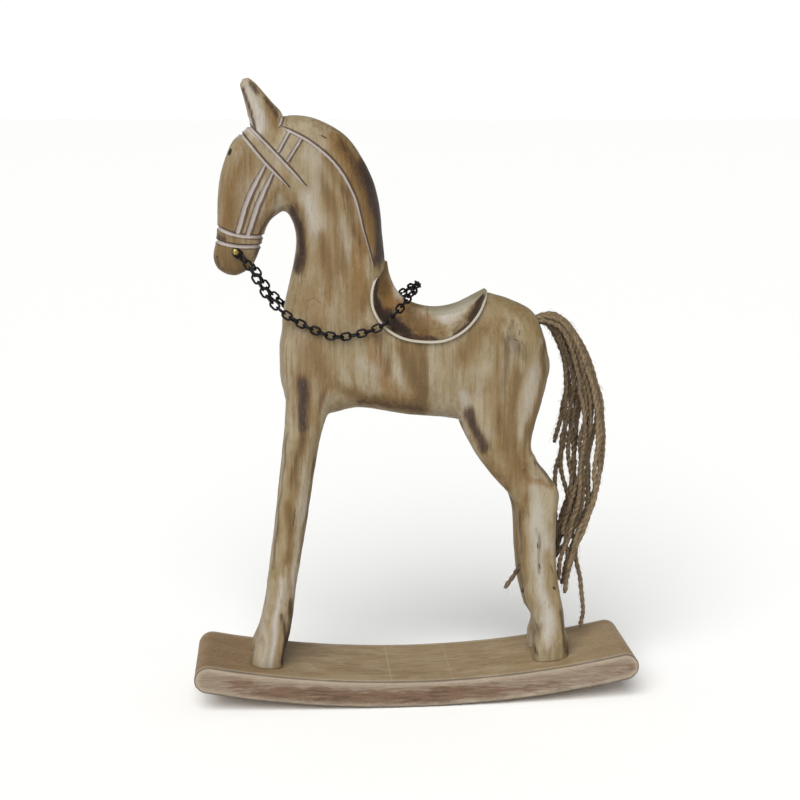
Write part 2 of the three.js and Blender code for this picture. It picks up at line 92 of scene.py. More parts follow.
# A closed skin over rings of points: (points, faces), facing outwards
def skin(rings, closed=False):
    rings = np.array(rings, float)
    rows, count = rings.shape[:2]
    points = rings.reshape(-1, 3)
    faces = []
    for r in range(rows if closed else rows - 1):
        n = ((r + 1) % rows) * count
        for i in range(count):
            j = (i + 1) % count
            faces.append((r * count + i, r * count + j, n + j, n + i))
    if not closed:
        for first, flip in ((0, True), ((rows - 1) * count, False)):
            hub = len(points)
            points = np.vstack([points, points[first:first + count].mean(0)])
            for i in range(count):
                j = (i + 1) % count
                faces.append((hub, first + (j if flip else i), first + (i if flip else j)))
    if volumeOf(points, faces) < 0:
        faces = [tuple(reversed(f)) for f in faces]
    return points, faces


def volumeOf(points, faces):
    total = 0.0
    for f in faces:
        a = points[f[0]]
        for k in range(1, len(f) - 1):
            total += np.dot(a, np.cross(points[f[k]], points[f[k + 1]]))
    return total / 6


def joined(forms):
    points, faces, base = [], [], 0
    for p, f in forms:
        points.append(p)
        faces += [tuple(i + base for i in face) for face in f]
        base += len(p)
    return np.vstack(points), faces


# An object of a mesh given in millimetres
def makePiece(name, points, faces):
    mesh = bpy.data.meshes.new(name)
    mesh.from_pydata((np.array(points) * 0.001).tolist(), [], faces)
    mesh.update()
    piece = bpy.data.objects.new(name, mesh)
    scene.collection.objects.link(piece)
    return piece


def getPoints(mesh):
    flat = np.empty(len(mesh.vertices) * 3, np.float32)
    mesh.vertices.foreach_get("co", flat)
    return flat.reshape(-1, 3).astype(float) * 1000


def setPoints(mesh, points):
    mesh.vertices.foreach_set("co", (points * 0.001).astype(np.float32).ravel())
    mesh.update()


def getNormals(mesh):
    flat = np.empty(len(mesh.vertices) * 3, np.float32)
    mesh.vertex_normals.foreach_get("vector", flat)
    return flat.reshape(-1, 3).astype(float)


def setField(mesh, name, values):
    field = mesh.attributes.get(name) or mesh.attributes.new(name, "FLOAT", "POINT")
    field.data.foreach_set("value", np.array(values, np.float32))


def applyModifiers(piece):
    mesh = bpy.data.meshes.new_from_object(piece.evaluated_get(bpy.context.evaluated_depsgraph_get()))
    piece.modifiers.clear()
    old, piece.data = piece.data, mesh
    bpy.data.meshes.remove(old)


# Cuts another solid out of a piece, or adds it
def combine(piece, solid, operation):
    other = makePiece("tool", *solid)
    cut = piece.modifiers.new("cut", "BOOLEAN")
    cut.operation, cut.object, cut.solver = operation, other, "MANIFOLD"
    applyModifiers(piece)
    bpy.data.objects.remove(other)


def finishPiece(piece, material, node, angle=35):
    piece.data.materials.clear()
    piece.data.materials.append(material)
    piece.data.shade_smooth()
    if angle:
        piece.data.set_sharp_from_angle(angle=math.radians(angle))
    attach(piece, "root")
    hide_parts(node)


# ---- helpers for materials

def linear(text):
    channels = [int(text[i:i + 2], 16) / 255 for i in (1, 3, 5)]
    return [c / 12.92 if c <= 0.04045 else ((c + 0.055) / 1.055) ** 2.4 for c in channels] + [1]


# Adds a node with settings, and inputs that are set or linked. Gives back one of its outputs.
def addNode(tree, kind, settings, inputs, output=0):
    node = tree.nodes.new("ShaderNode" + kind)
    for key, value in settings.items():
        setattr(node, key, value)
    for key, value in inputs.items():
        if isinstance(value, bpy.types.NodeSocket):
            tree.links.new(value, node.inputs[key])
        else:
            node.inputs[key].default_value = value
    return None if output is None else node.outputs[output]


# ---- camera, at the photograph's angle

view = {"place": (-89.4, -934.1, 397.7), "down": 11.636, "right": 4.847, "lens": 64.56}
camera = bpy.data.objects.new("camera", bpy.data.cameras.new("camera"))
camera.data.lens, camera.data.sensor_width = view["lens"], 36
camera.location = Vector(view["place"]) * 0.001
camera.rotation_euler = (math.radians(90 - view["down"]), 0, math.radians(-view["right"]))
scene.collection.objects.link(camera)
scene.camera = camera

# The horse is drawn in hundredths of its height above the soles, which stand on the board
unit = 3.885
board = {"length": 300, "width": 68, "thickness": 19, "radius": 703, "edge": 0.9}
standHeight = 25.75


def place(x, z, y=0.0):
    return np.array([x * unit, y, standHeight + z * unit])


def boardTop(x):
    return board["radius"] - np.sqrt((board["radius"] - board["thickness"]) ** 2 - np.square(x))


# ---- tail: jute strands, each twisted of two plies, glued into a drilled hole in the rump

tail = {
    "mouth": (20.8, 59.5),          # of the hole, in the horse's units
    "direction": (0.9, 0.0, 0.44),  # out of the hole
    "holeRadius": 6.6,
    "holeDepth": 10,
    "diameter": 3.4,                # of one strand
    "plies": 2,
    "twist": 9.5,                    # length of one turn of the plies
    "ring": 0.95,                   # distance between rings of the mesh
    "fibres": 260,                  # loose fibres on a strand
    # Each strand: distance from the middle plane at the root, halfway and at its end, its tone (its own jute colour,
    # lowered as painted shade on strands that lie behind others), and its points
    "strands": [
        (0, 4, 8, 0.75, [[2, 3.5], [11, 4.5], [18, 0.5], [25, -7], [33, -19], [40, -37], [47, -63], [48.5, -86],
                         [46, -109], [38, -134], [32, -156], [35, -182], [38.5, -205], [38, -219]]),
        (-3, -4, -3, 0.9, [[2, 2.8], [13, 1.5], [23, -8], [32, -26], [39, -47], [43, -75], [41, -103],
                           [42, -119], [36, -141], [27, -167], [22, -190]]),
        (3, 5, 4, 0.5, [[2, 2.5], [14, 0], [25, -12], [32, -34], [36, -60], [37, -87], [39, -112], [37, -138],
                        [28, -158], [22, -185]]),
        (-4, -6, -4, 0.7, [[2, 0.5], [15, -4], [24, -22], [30, -46], [33, -73], [31, -102], [31, -124],
                           [25, -145], [19, -167], [18, -179]]),
        (4, 1, 3, 0.35, [[2, -1], [12, -6], [19, -23], [24, -49], [26, -76], [28, -100], [30, -121],
                         [23, -142], [17, -164]]),
        (-1, -1, 0, 0.45, [[4, 0.2], [12, -6.5], [19, -26], [21, -55], [20, -80], [16, -100], [15.5, -124],
                           [16.5, -150]]),
        (1, 1, 2, 0.4, [[4, -0.8], [10, -5], [15.5, -15], [20, -30], [21.5, -46], [19, -62], [14, -84]]),
        (0, 1, 0, 0.55, [[2, -0.5], [15, -6], [25, -25], [30, -47], [26, -68], [24, -92], [27, -112],
                         [22, -136], [9, -154], [-6, -168], [-18.5, -187]]),
        (-2, -3, -2, 0.6, [[2, 2], [15, -2], [26, -18], [34, -42], [38, -65], [34, -90], [33, -108],
                           [28, -132], [23, -152], [25, -170], [23, -188]]),
        (2, 2, 0, 0.35, [[2, 0.5], [16, -5], [26, -28], [31, -52], [28, -80], [28, -105], [24, -128],
                         [15, -152], [4, -170], [-6, -189]]),
        (-1, -2, -5, 0.85, [[2, 3], [12, 3.5], [21, -3], [30, -18], [37, -38], [44, -64], [45, -90],
                            [44, -112], [37, -132], [30, -150], [24, -172]]),
        (2, -5, 2, 0.5, [[2, 1.5], [13, -1], [22, -14], [29, -34], [34, -58], [30, -84], [34, -108], [33, -130],
                         [26, -150], [14, -168]]),
        (-2, 4, -4, 0.65, [[2, 2.2], [15, 1], [27, -12], [35, -32], [40, -58], [38, -84], [33, -104], [26, -126],
                           [20, -148]]),
        (0, -4, 1, 0.25, [[2, -0.3], [12, -4], [19, -18], [25, -40], [23, -62], [18, -84], [20, -108], [26, -130],
                          [28, -152]]),
        (1, 2, 6, 0.7, [[2, 3], [16, 2], [29, -13], [38, -36], [43, -60], [40, -84], [37, -104], [39, -126],
                        [33, -148], [26, -168]]),
        (1, 6, 5, 0.3, [[2, 1], [14, -3], [22, -19], [27, -42], [30, -70], [29, -96], [26, -120], [20, -142],
                        [16, -160]]),
    ],
}
tailMouth = place(*tail["mouth"])
tailOut = np.array(tail["direction"]) / np.linalg.norm(tail["direction"])
tailUp = np.array([-tailOut[2], 0, tailOut[0]])


# Centreline of a strand, from inside the hole to its loose end
def strandLine(rootSide, middleSide, endSide, route):
    last = len(route) - 1
    points = []
    for i, (x, z) in enumerate(route):
        share = i / last
        if share < 0.5:
            side = rootSide + (middleSide - rootSide) * 2 * share
        else:
            side = middleSide + (endSide - middleSide) * (2 * share - 1)
        points.append(tailMouth + (x, side, z))
    rise = (route[0][1] - route[0][0] * 0.49) * 0.8
    spot = tailMouth + tailUp * rise + np.array([0, rootSide, 0])
    line = throughPoints([spot - tailOut * 6, spot - tailOut * 1, *points], tail["ring"])
    along = np.linspace(0, 1, len(line))
    wander = smoothStep(along, 0.08, 0.3) * 1.2
    seed = rootSide * 7.3 + route[-1][1]
    for i, w in enumerate(wander):
        line[i] += noise.noise_vector(Vector((i * tail["ring"] / 17, seed, 0.5))) * w
        line[i] += noise.noise_vector(Vector((i * tail["ring"] / 6, seed, 9.5))) * w * 0.15
    return line


# Frames carried along a line without twisting: (across, up) at each point
def carriedFrames(line):
    tangent = np.gradient(line, axis=0)
    tangent /= np.linalg.norm(tangent, axis=1)[:, None]
    across = np.zeros_like(line)
    a = np.cross(tangent[0], (0.0, 1.0, 0.0))
    for i, t in enumerate(tangent):
        a = a - t * (a @ t)
        a /= np.linalg.norm(a)
        across[i] = a
    return tangent, across, np.cross(tangent, across)


def strandMesh(line, seed):
    plies, sides = tail["plies"], 20
    reach = tail["diameter"] / 2
    plyRadius = reach * 0.73
    plyPlace = reach - plyRadius
    tangent, across, up = carriedFrames(line)
    turn = 2 * np.pi * np.arange(sides) / sides
    off = (turn % (2 * np.pi / plies)) - np.pi / plies
    outline = plyPlace * np.cos(off) + np.sqrt(plyRadius ** 2 - (plyPlace * np.sin(off)) ** 2)
    rings, plyShadeMasks, placeAlong, placeRound = [], [], [], []
    twist = 0.0
    for i, point in enumerate(line):
        pitch = tail["twist"] * (1 + 0.25 * noise.noise(Vector((i * 0.03, seed, 2.2))))
        twist += 2 * np.pi * tail["ring"] / pitch
        swell = 1 + 0.16 * noise.noise(Vector((i * 0.11, seed, 5.1)))
        swell *= 1 - 0.55 * max(0, (i - len(line) + 4) / 4) ** 2
        wiry = np.array([noise.noise(Vector((i * 0.35, k * 0.9, seed))) for k in range(sides)]) * 0.16
        radius = np.minimum(outline * swell + wiry, reach * 1.12)
        angle = turn + twist
        rings.append(point + radius[:, None] * (np.cos(angle)[:, None] * across[i] + np.sin(angle)[:, None] * up[i]))
        # Mask for painted shade in the grooves between the plies: 1 on a ply's crown, lower down in the grooves.
        plyShadeMasks.append((outline / outline.max() - 0.62) / 0.38)
        placeAlong.append(np.full(sides, i * tail["ring"]))
        placeRound.append(turn * 2.4)
    points, faces = skin(rings)
    extra = len(points) - len(line) * sides

    def flat(values):
        return np.concatenate([np.array(values).ravel(), np.zeros(extra) + 0.5])
    return points, faces, {"plyShadeMask": flat(plyShadeMasks), "along": flat(placeAlong), "around": flat(placeRound)}


# Thin three-sided fibres that stand off a strand
def looseFibres(line):
    forms = []
    tangent, across, up = carriedFrames(line)
    for _ in range(tail["fibres"]):
        i = chance.randrange(10, len(line) - 2)
        angle = chance.uniform(0, 2 * math.pi)
        out = math.cos(angle) * across[i] + math.sin(angle) * up[i]
        side = np.cross(tangent[i], out)
        lean = tangent[i] * chance.uniform(0.6, 1.6) + side * chance.uniform(-0.8, 0.8)
        length = chance.uniform(1.5, 4.5)
        start = line[i] + out * tail["diameter"] * 0.4
        rings = []
        for k in range(4):
            s = k / 3
            centre = start + lean * length * s * 0.7 + out * length * 0.45 * math.sin(s * 2.2)
            radius = 0.09 * (1 - 0.6 * s)
            rings.append([centre + radius * (math.cos(q) * side + math.sin(q) * out) for q in (0.5, 2.6, 4.7)])
        forms.append(skin(rings))
    return forms


tailPieces, fibreForms = [], []
for number, (rootSide, middleSide, endSide, tone, route) in enumerate(tail["strands"], 1):
    line = strandLine(rootSide, middleSide, endSide, route)
    points, faces, fields = strandMesh(line, number * 3.7)
    strand = makePiece(f"tail_strand_{number:02d}", points, faces)
    for name, values in fields.items():
        setField(strand.data, name, values)
    # The tone field is partly the strand's own colour and partly painted shade for strands lying behind others.
    setField(strand.data, "tone", np.full(len(points), tone))
    tailPieces.append(strand)
    fibreForms += looseFibres(line)
print("tail strands made:", len(tailPieces))


# ---- horse

# Stations run through each form as [frontX, frontZ, backX, backZ, half width, side], in the horse's units
horseForms = {
    "torso": (2.5, [
        [-22.6, 48.5, -22.8, 57.5, 3.2, 0], [-22.0, 46.2, -22.2, 60.5, 4.7, 0], [-19.8, 44.8, -20.4, 63.0, 5.8, 0],
        [-14.8, 44.2, -15.5, 64.5, 6.2, 0], [-10.0, 45.1, -9.5, 64.5, 6.3, 0], [-2.0, 43.8, -1.0, 63.2, 6.3, 0],
        [5.0, 43.1, 5.0, 63.2, 6.3, 0], [9.5, 42.2, 11.0, 64.6, 6.3, 0], [13.2, 41.2, 14.4, 63.9, 6.2, 0],
        [17.0, 41.2, 18.0, 62.5, 5.8, 0], [20.0, 42.6, 20.3, 60.9, 5.0, 0], [21.7, 45.6, 21.9, 57.4, 3.8, 0],
        [22.7, 49.5, 22.8, 53.6, 2.0, 0]]),
    "neck": (2.5, [
        [-26.0, 81.0, -25.6, 92.3, 3.4, 0], [-23.2, 79.3, -22.0, 93.9, 3.9, 0], [-21.7, 78.5, -18.1, 93.9, 4.1, 0],
        [-21.1, 77.7, -14.9, 92.8, 4.2, 0], [-20.6, 76.7, -11.6, 90.7, 4.2, 0], [-20.3, 75.9, -9.1, 87.4, 4.2, 0],
        [-20.1, 74.9, -7.1, 83.4, 4.3, 0], [-20.0, 73.4, -6.1, 79.3, 4.4, 0], [-20.3, 71.0, -5.6, 74.6, 4.5, 0],
        [-21.0, 67.6, -5.2, 70.0, 4.8, 0], [-22.0, 63.5, -4.6, 64.5, 5.3, 0], [-22.6, 59.3, -5.0, 59.0, 5.8, 0],
        [-21.8, 56.0, -8.0, 54.5, 5.4, 0]]),
    "head": (3.0, [
        [-26.9, 92.8, -22.2, 92.6, 2.9, 0], [-28.6, 91.3, -21.8, 88.0, 3.6, 0], [-30.3, 89.7, -21.6, 84.2, 3.9, 0],
        [-31.6, 86.7, -21.8, 80.6, 4.0, 0], [-32.5, 83.4, -22.3, 78.6, 4.0, 0], [-32.9, 79.6, -24.2, 77.0, 3.8, 0],
        [-33.0, 76.0, -25.3, 74.8, 3.5, 0], [-33.3, 73.6, -26.0, 72.2, 3.3, 0], [-33.8, 71.0, -27.3, 69.6, 3.1, 0],
        [-33.2, 69.2, -28.6, 68.5, 2.6, 0], [-32.0, 68.3, -29.8, 67.9, 1.6, 0]]),
    "ear": (2.4, [
        [-26.8, 90.5, -21.6, 90.9, 0.95, 2.3], [-27.3, 93.0, -22.0, 94.2, 0.9, 2.35],
        [-27.9, 95.6, -23.7, 96.2, 0.8, 2.4], [-28.4, 97.6, -25.0, 97.7, 0.65, 2.45],
        [-28.7, 98.9, -26.3, 99.2, 0.5, 2.5], [-28.3, 99.8, -27.3, 100.0, 0.25, 2.5]]),
    "foreleg": (2.5, [
        [-21.8, 51.0, -13.0, 50.0, 2.6, 3.4], [-22.2, 45.6, -15.0, 45.1, 2.65, 3.5],
        [-22.5, 40.6, -16.5, 40.4, 2.4, 3.6], [-23.0, 36.3, -17.3, 36.0, 2.2, 3.6],
        [-23.6, 31.3, -18.1, 31.2, 2.0, 3.5], [-24.4, 24.5, -19.1, 24.6, 1.85, 3.4],
        [-25.2, 18.5, -20.2, 18.4, 1.8, 3.35], [-25.9, 13.5, -21.0, 13.5, 1.75, 3.3],
        [-26.6, 8.8, -21.6, 9.0, 1.7, 3.3], [-27.5, 5.3, -22.2, 5.3, 1.95, 3.3],
        [-28.4, 3.2, -22.9, 3.3, 2.25, 3.3], [-29.1, 1.5, -23.3, 1.9, 2.45, 3.3],
        [-29.1, -3.0, -23.5, -3.0, 2.45, 3.3]]),
    "hindLeg": (2.5, [
        [8.5, 50.5, 21.4, 53.0, 2.5, 3.3], [7.6, 43.5, 21.5, 47.0, 2.75, 3.4], [9.6, 38.0, 20.1, 41.8, 2.6, 3.5],
        [13.2, 33.0, 19.7, 37.6, 2.35, 3.5], [16.2, 29.6, 21.9, 34.0, 2.15, 3.4], [17.4, 26.6, 24.6, 30.3, 2.0, 3.35],
        [17.8, 23.5, 24.3, 25.9, 1.9, 3.3], [18.1, 19.3, 24.3, 20.1, 1.85, 3.3], [18.5, 15.1, 24.6, 15.2, 1.8, 3.3],
        [19.2, 11.2, 25.3, 11.3, 1.75, 3.3], [20.2, 8.0, 26.0, 8.2, 1.75, 3.3], [21.5, 5.1, 26.3, 5.0, 1.85, 3.3],
        [21.2, 3.2, 27.0, 3.2, 2.25, 3.3], [20.8, 1.2, 27.1, 1.5, 2.4, 3.3], [20.8, -3.0, 27.1, -3.0, 2.4, 3.3]]),
}

carving = {
    "voxel": 1.65,        # grain of the carved body's mesh
    "fill": 19,           # rounds that soften the hollows where two forms meet
    "handMarks": 0.22,    # height of the soft unevenness of hand carving
    "grooveHalf": 1.12,   # half width of a carved line
    "grooveDepth": 0.9,
    "broader": {"cheekFront": 1.6, "cheekBack": 1.6, "noseUpper": 1.2, "noseLower": 1.2},
}

# Carved lines in side view: whether the line runs round the form, the lengths over which its start and its
# end taper off, and its points in the horse's units
carvedLines = {
    "browUpper": (True, 0, 16, [[-28.2, 93.1], [-27.3, 92.2], [-23.7, 88.5], [-18.3, 82.7]]),
    "browLower": (True, 0, 16, [[-30.2, 92.4], [-29.2, 91.6], [-25.0, 86.6], [-21.1, 82.6]]),
    "headFront": (False, 0, 0, [[-21.0, 91.4], [-22.7, 88.4]]),
    "headBack": (False, 0, 0, [[-19.1, 90.2], [-21.2, 86.9]]),
    "cheekFront": (False, 20, 0, [[-25.0, 86.0], [-27.6, 81.0], [-29.5, 75.4]]),
    "cheekBack": (False, 20, 0, [[-23.8, 84.7], [-26.1, 79.9], [-27.9, 74.8]]),
    "noseUpper": (True, 0, 0, [[-35.0, 76.7], [-33.6, 76.2], [-29.9, 74.8], [-24.4, 74.3]]),
    "noseLower": (True, 0, 0, [[-35.4, 74.4], [-33.9, 73.9], [-30.0, 73.0], [-25.0, 72.8]]),
    "mane": (False, 5, 60, [[-21.9, 92.1], [-17.6, 89.8], [-13.4, 86.1], [-10.5, 81.1], [-9.0, 75.5], [-7.2, 69.4]]),
    "earFoot": (False, 6, 2, [[-21.9, 94.4], [-22.2, 93.3], [-22.6, 92.2]]),
}
eye = {"place": (-30.6, 88.2), "half": (2.0, 2.5), "lean": 20, "depth": 0.35}
nostril = {"place": (-33.1, 71.1), "half": (0.9, 1.3), "lean": 0, "depth": 0.7}


def loft(squareness, rows, side=1, corners=44, step=2.2):
    rows = throughPoints(np.array(rows, float), step / unit)
    turn = 2 * np.pi * (np.arange(corners) + 0.5) / corners
    along = np.sign(np.cos(turn)) * np.abs(np.cos(turn)) ** (2 / squareness)
    across = np.sign(np.sin(turn)) * np.abs(np.sin(turn)) ** (2 / squareness)

    def ring(row, size=1.0, ahead=None):
        front, back = place(row[0], row[1]), place(row[2], row[3])
        centre, reach = (front + back) / 2, (back - front) / 2
        points = centre + np.outer(along * size, reach)
        points[:, 1] = (row[5] * side + row[4] * across * size) * unit
        return points if ahead is None else points + ahead
    rings = [ring(row) for row in rows]
    for end in (0, -1):
        middle = rings[end].mean(0) - rings[1 if end == 0 else -2].mean(0)
        ahead = middle / np.linalg.norm(middle) * rows[end][4] * unit * 0.16
        dome = [ring(rows[end], math.cos(a), ahead * math.sin(a)) for a in (0.4, 0.8, 1.15)]
        rings = dome[::-1] + rings if end == 0 else rings + dome
    return skin(rings)


# Lets near points share their places, more where that fills a hollow than where it wears an edge
def soften(mesh, rounds, wear):
    edges = np.empty(len(mesh.edges) * 2, np.int32)
    mesh.edges.foreach_get("vertices", edges)
    a, b = edges.reshape(-1, 2).T
    points = getPoints(mesh)
    degree = np.bincount(np.concatenate([a, b]), minlength=len(points))[:, None]
    for r in range(rounds):
        if r % 6 == 0:
            setPoints(mesh, points)
            normals = getNormals(mesh)
        total = np.stack([
            np.bincount(a, points[b, k], len(points)) + np.bincount(b, points[a, k], len(points)) for k in range(3)
        ], axis=1)
        shift = total / degree - points
        outward = (shift * normals).sum(1)[:, None]
        points += shift * np.where(outward > 0, 0.5, wear)
    setPoints(mesh, points)


# Smoothing that keeps the size: a step in and a slightly longer one out
def relax(mesh, rounds):
    edges = np.empty(len(mesh.edges) * 2, np.int32)
    mesh.edges.foreach_get("vertices", edges)
    a, b = edges.reshape(-1, 2).T
    points = getPoints(mesh)
    degree = np.bincount(np.concatenate([a, b]), minlength=len(points))[:, None]
    for r in range(rounds * 2):
        total = np.stack([
            np.bincount(a, points[b, k], len(points)) + np.bincount(b, points[a, k], len(points)) for k in range(3)
        ], axis=1)
        points += (total / degree - points) * (0.5 if r % 2 == 0 else -0.53)
    setPoints(mesh, points)


# Distance of each point from the nearest carved line, where that line can reach it
def lineDistances(points, normals):
    best = np.full(len(points), 9.0)
    near = np.nonzero((points[:, 0] < -15) & (points[:, 2] > 280))[0]
    flat = points[near][:, [0, 2]]
    onSide = smoothStep(np.abs(normals[near, 1]), 0.2, 0.45)
    for name, (wraps, startTaper, endTaper, route) in carvedLines.items():
        line = throughPoints([place(x, z)[[0, 2]] for x, z in route], 3)
        away, run = distanceTo(flat, line)
        left = np.linalg.norm(np.diff(line, axis=0), axis=1).sum() - run
        width = np.minimum(smoothStep(run, -startTaper - 0.1, startTaper), smoothStep(left, -endTaper * 0.35 - 0.1, endTaper))
        away = away / (0.2 + 0.8 * width) / carving["broader"].get(name, 1)
        if not wraps:
            away = away + (1 - onSide) * 4
        best[near] = np.minimum(best[near], away)
    return best


# How far a point is from the middle of a small oval mark, where 1 is its edge
def markShape(points, centre, half, lean):
    d = points - centre
    a = math.radians(lean)
    tall = d[:, 2] * math.cos(a) + d[:, 0] * math.sin(a)
    rest = np.sqrt(np.maximum((d * d).sum(1) - tall ** 2, 0))
    return np.sqrt((tall / half[1]) ** 2 + (rest / half[0]) ** 2)


def splitNear(mesh, away, reach):
    bm = bmesh.new()
    bm.from_mesh(mesh)
    bm.verts.ensure_lookup_table()
    chosen = [e for e in bm.edges if away[e.verts[0].index] < reach or away[e.verts[1].index] < reach]
    bmesh.ops.subdivide_edges(bm, edges=chosen, cuts=1, use_grid_fill=True)
    bm.to_mesh(mesh)
    bm.free()
    mesh.update()


def treeOf(mesh):
    return BVHTree.FromPolygons([v.co * 1000 for v in mesh.vertices], [tuple(p.vertices) for p in mesh.polygons])


# Distance from the middle plane to a tree's side at a place of the side view
def sideAt(tree, x, z, side=-1):
    spot = place(x, z, side * 150)
    hit = tree.ray_cast(Vector(spot), Vector((0, -side, 0)))
    return abs(hit[0].y) if hit[0] else 0.0


# The ears are thin for the grain of the mesh: they go in swollen, and their points come back to the drawn form
def swollen(rows):
    grown = []
    for frontX, frontZ, backX, backZ, half, away in rows:
        more = 0.28 * float(smoothStep(frontZ, 92.5, 95))
        lift = more if frontZ > 98.5 else 0
        grown.append([frontX - more, frontZ + lift, backX + more, backZ + lift, half + more, away])
    return grown


forms = []
for name, (squareness, rows) in horseForms.items():
    for side in (-1, 1) if rows[0][5] else (1,):
        forms.append(loft(squareness, swollen(rows) if name == "ear" else rows, side))
horse = makePiece("horse_body", *joined(forms))
remesh = horse.modifiers.new("grain", "REMESH")
remesh.mode, remesh.voxel_size = "VOXEL", carving["voxel"] / 1000
applyModifiers(horse)
relax(horse.data, 3)
soften(horse.data, carving["fill"], 0.03)

earPoints, earFaces = joined([loft(*horseForms["ear"], side) for side in (-1, 1)])
earTree = BVHTree.FromPolygons([tuple(p) for p in earPoints], [tuple(f) for f in earFaces])
points = getPoints(horse.data)
height = (points[:, 2] - standHeight) / unit
for i in np.nonzero((height > 93.6) & (points[:, 0] < -21 * unit))[0]:
    spot = np.array(earTree.find_nearest(Vector(points[i]))[0])
    points[i] += (spot - points[i]) * float(smoothStep(height[i], 93.6, 94.8))
setPoints(horse.data, points)
print("horse joined:", len(horse.data.vertices), "points")

marks = {}
tree = treeOf(horse.data)
for name, mark in (("eye", eye), ("nostril", nostril)):
    marks[name] = [(place(*mark["place"], side * sideAt(tree, *mark["place"])), mark) for side in (-1, 1)]


def markDistances(points, name):
    best = np.full(len(points), 9.0)
    for centre, mark in marks[name]:
        best = np.minimum(best, markShape(points, centre, mark["half"], mark["lean"]))
    return best


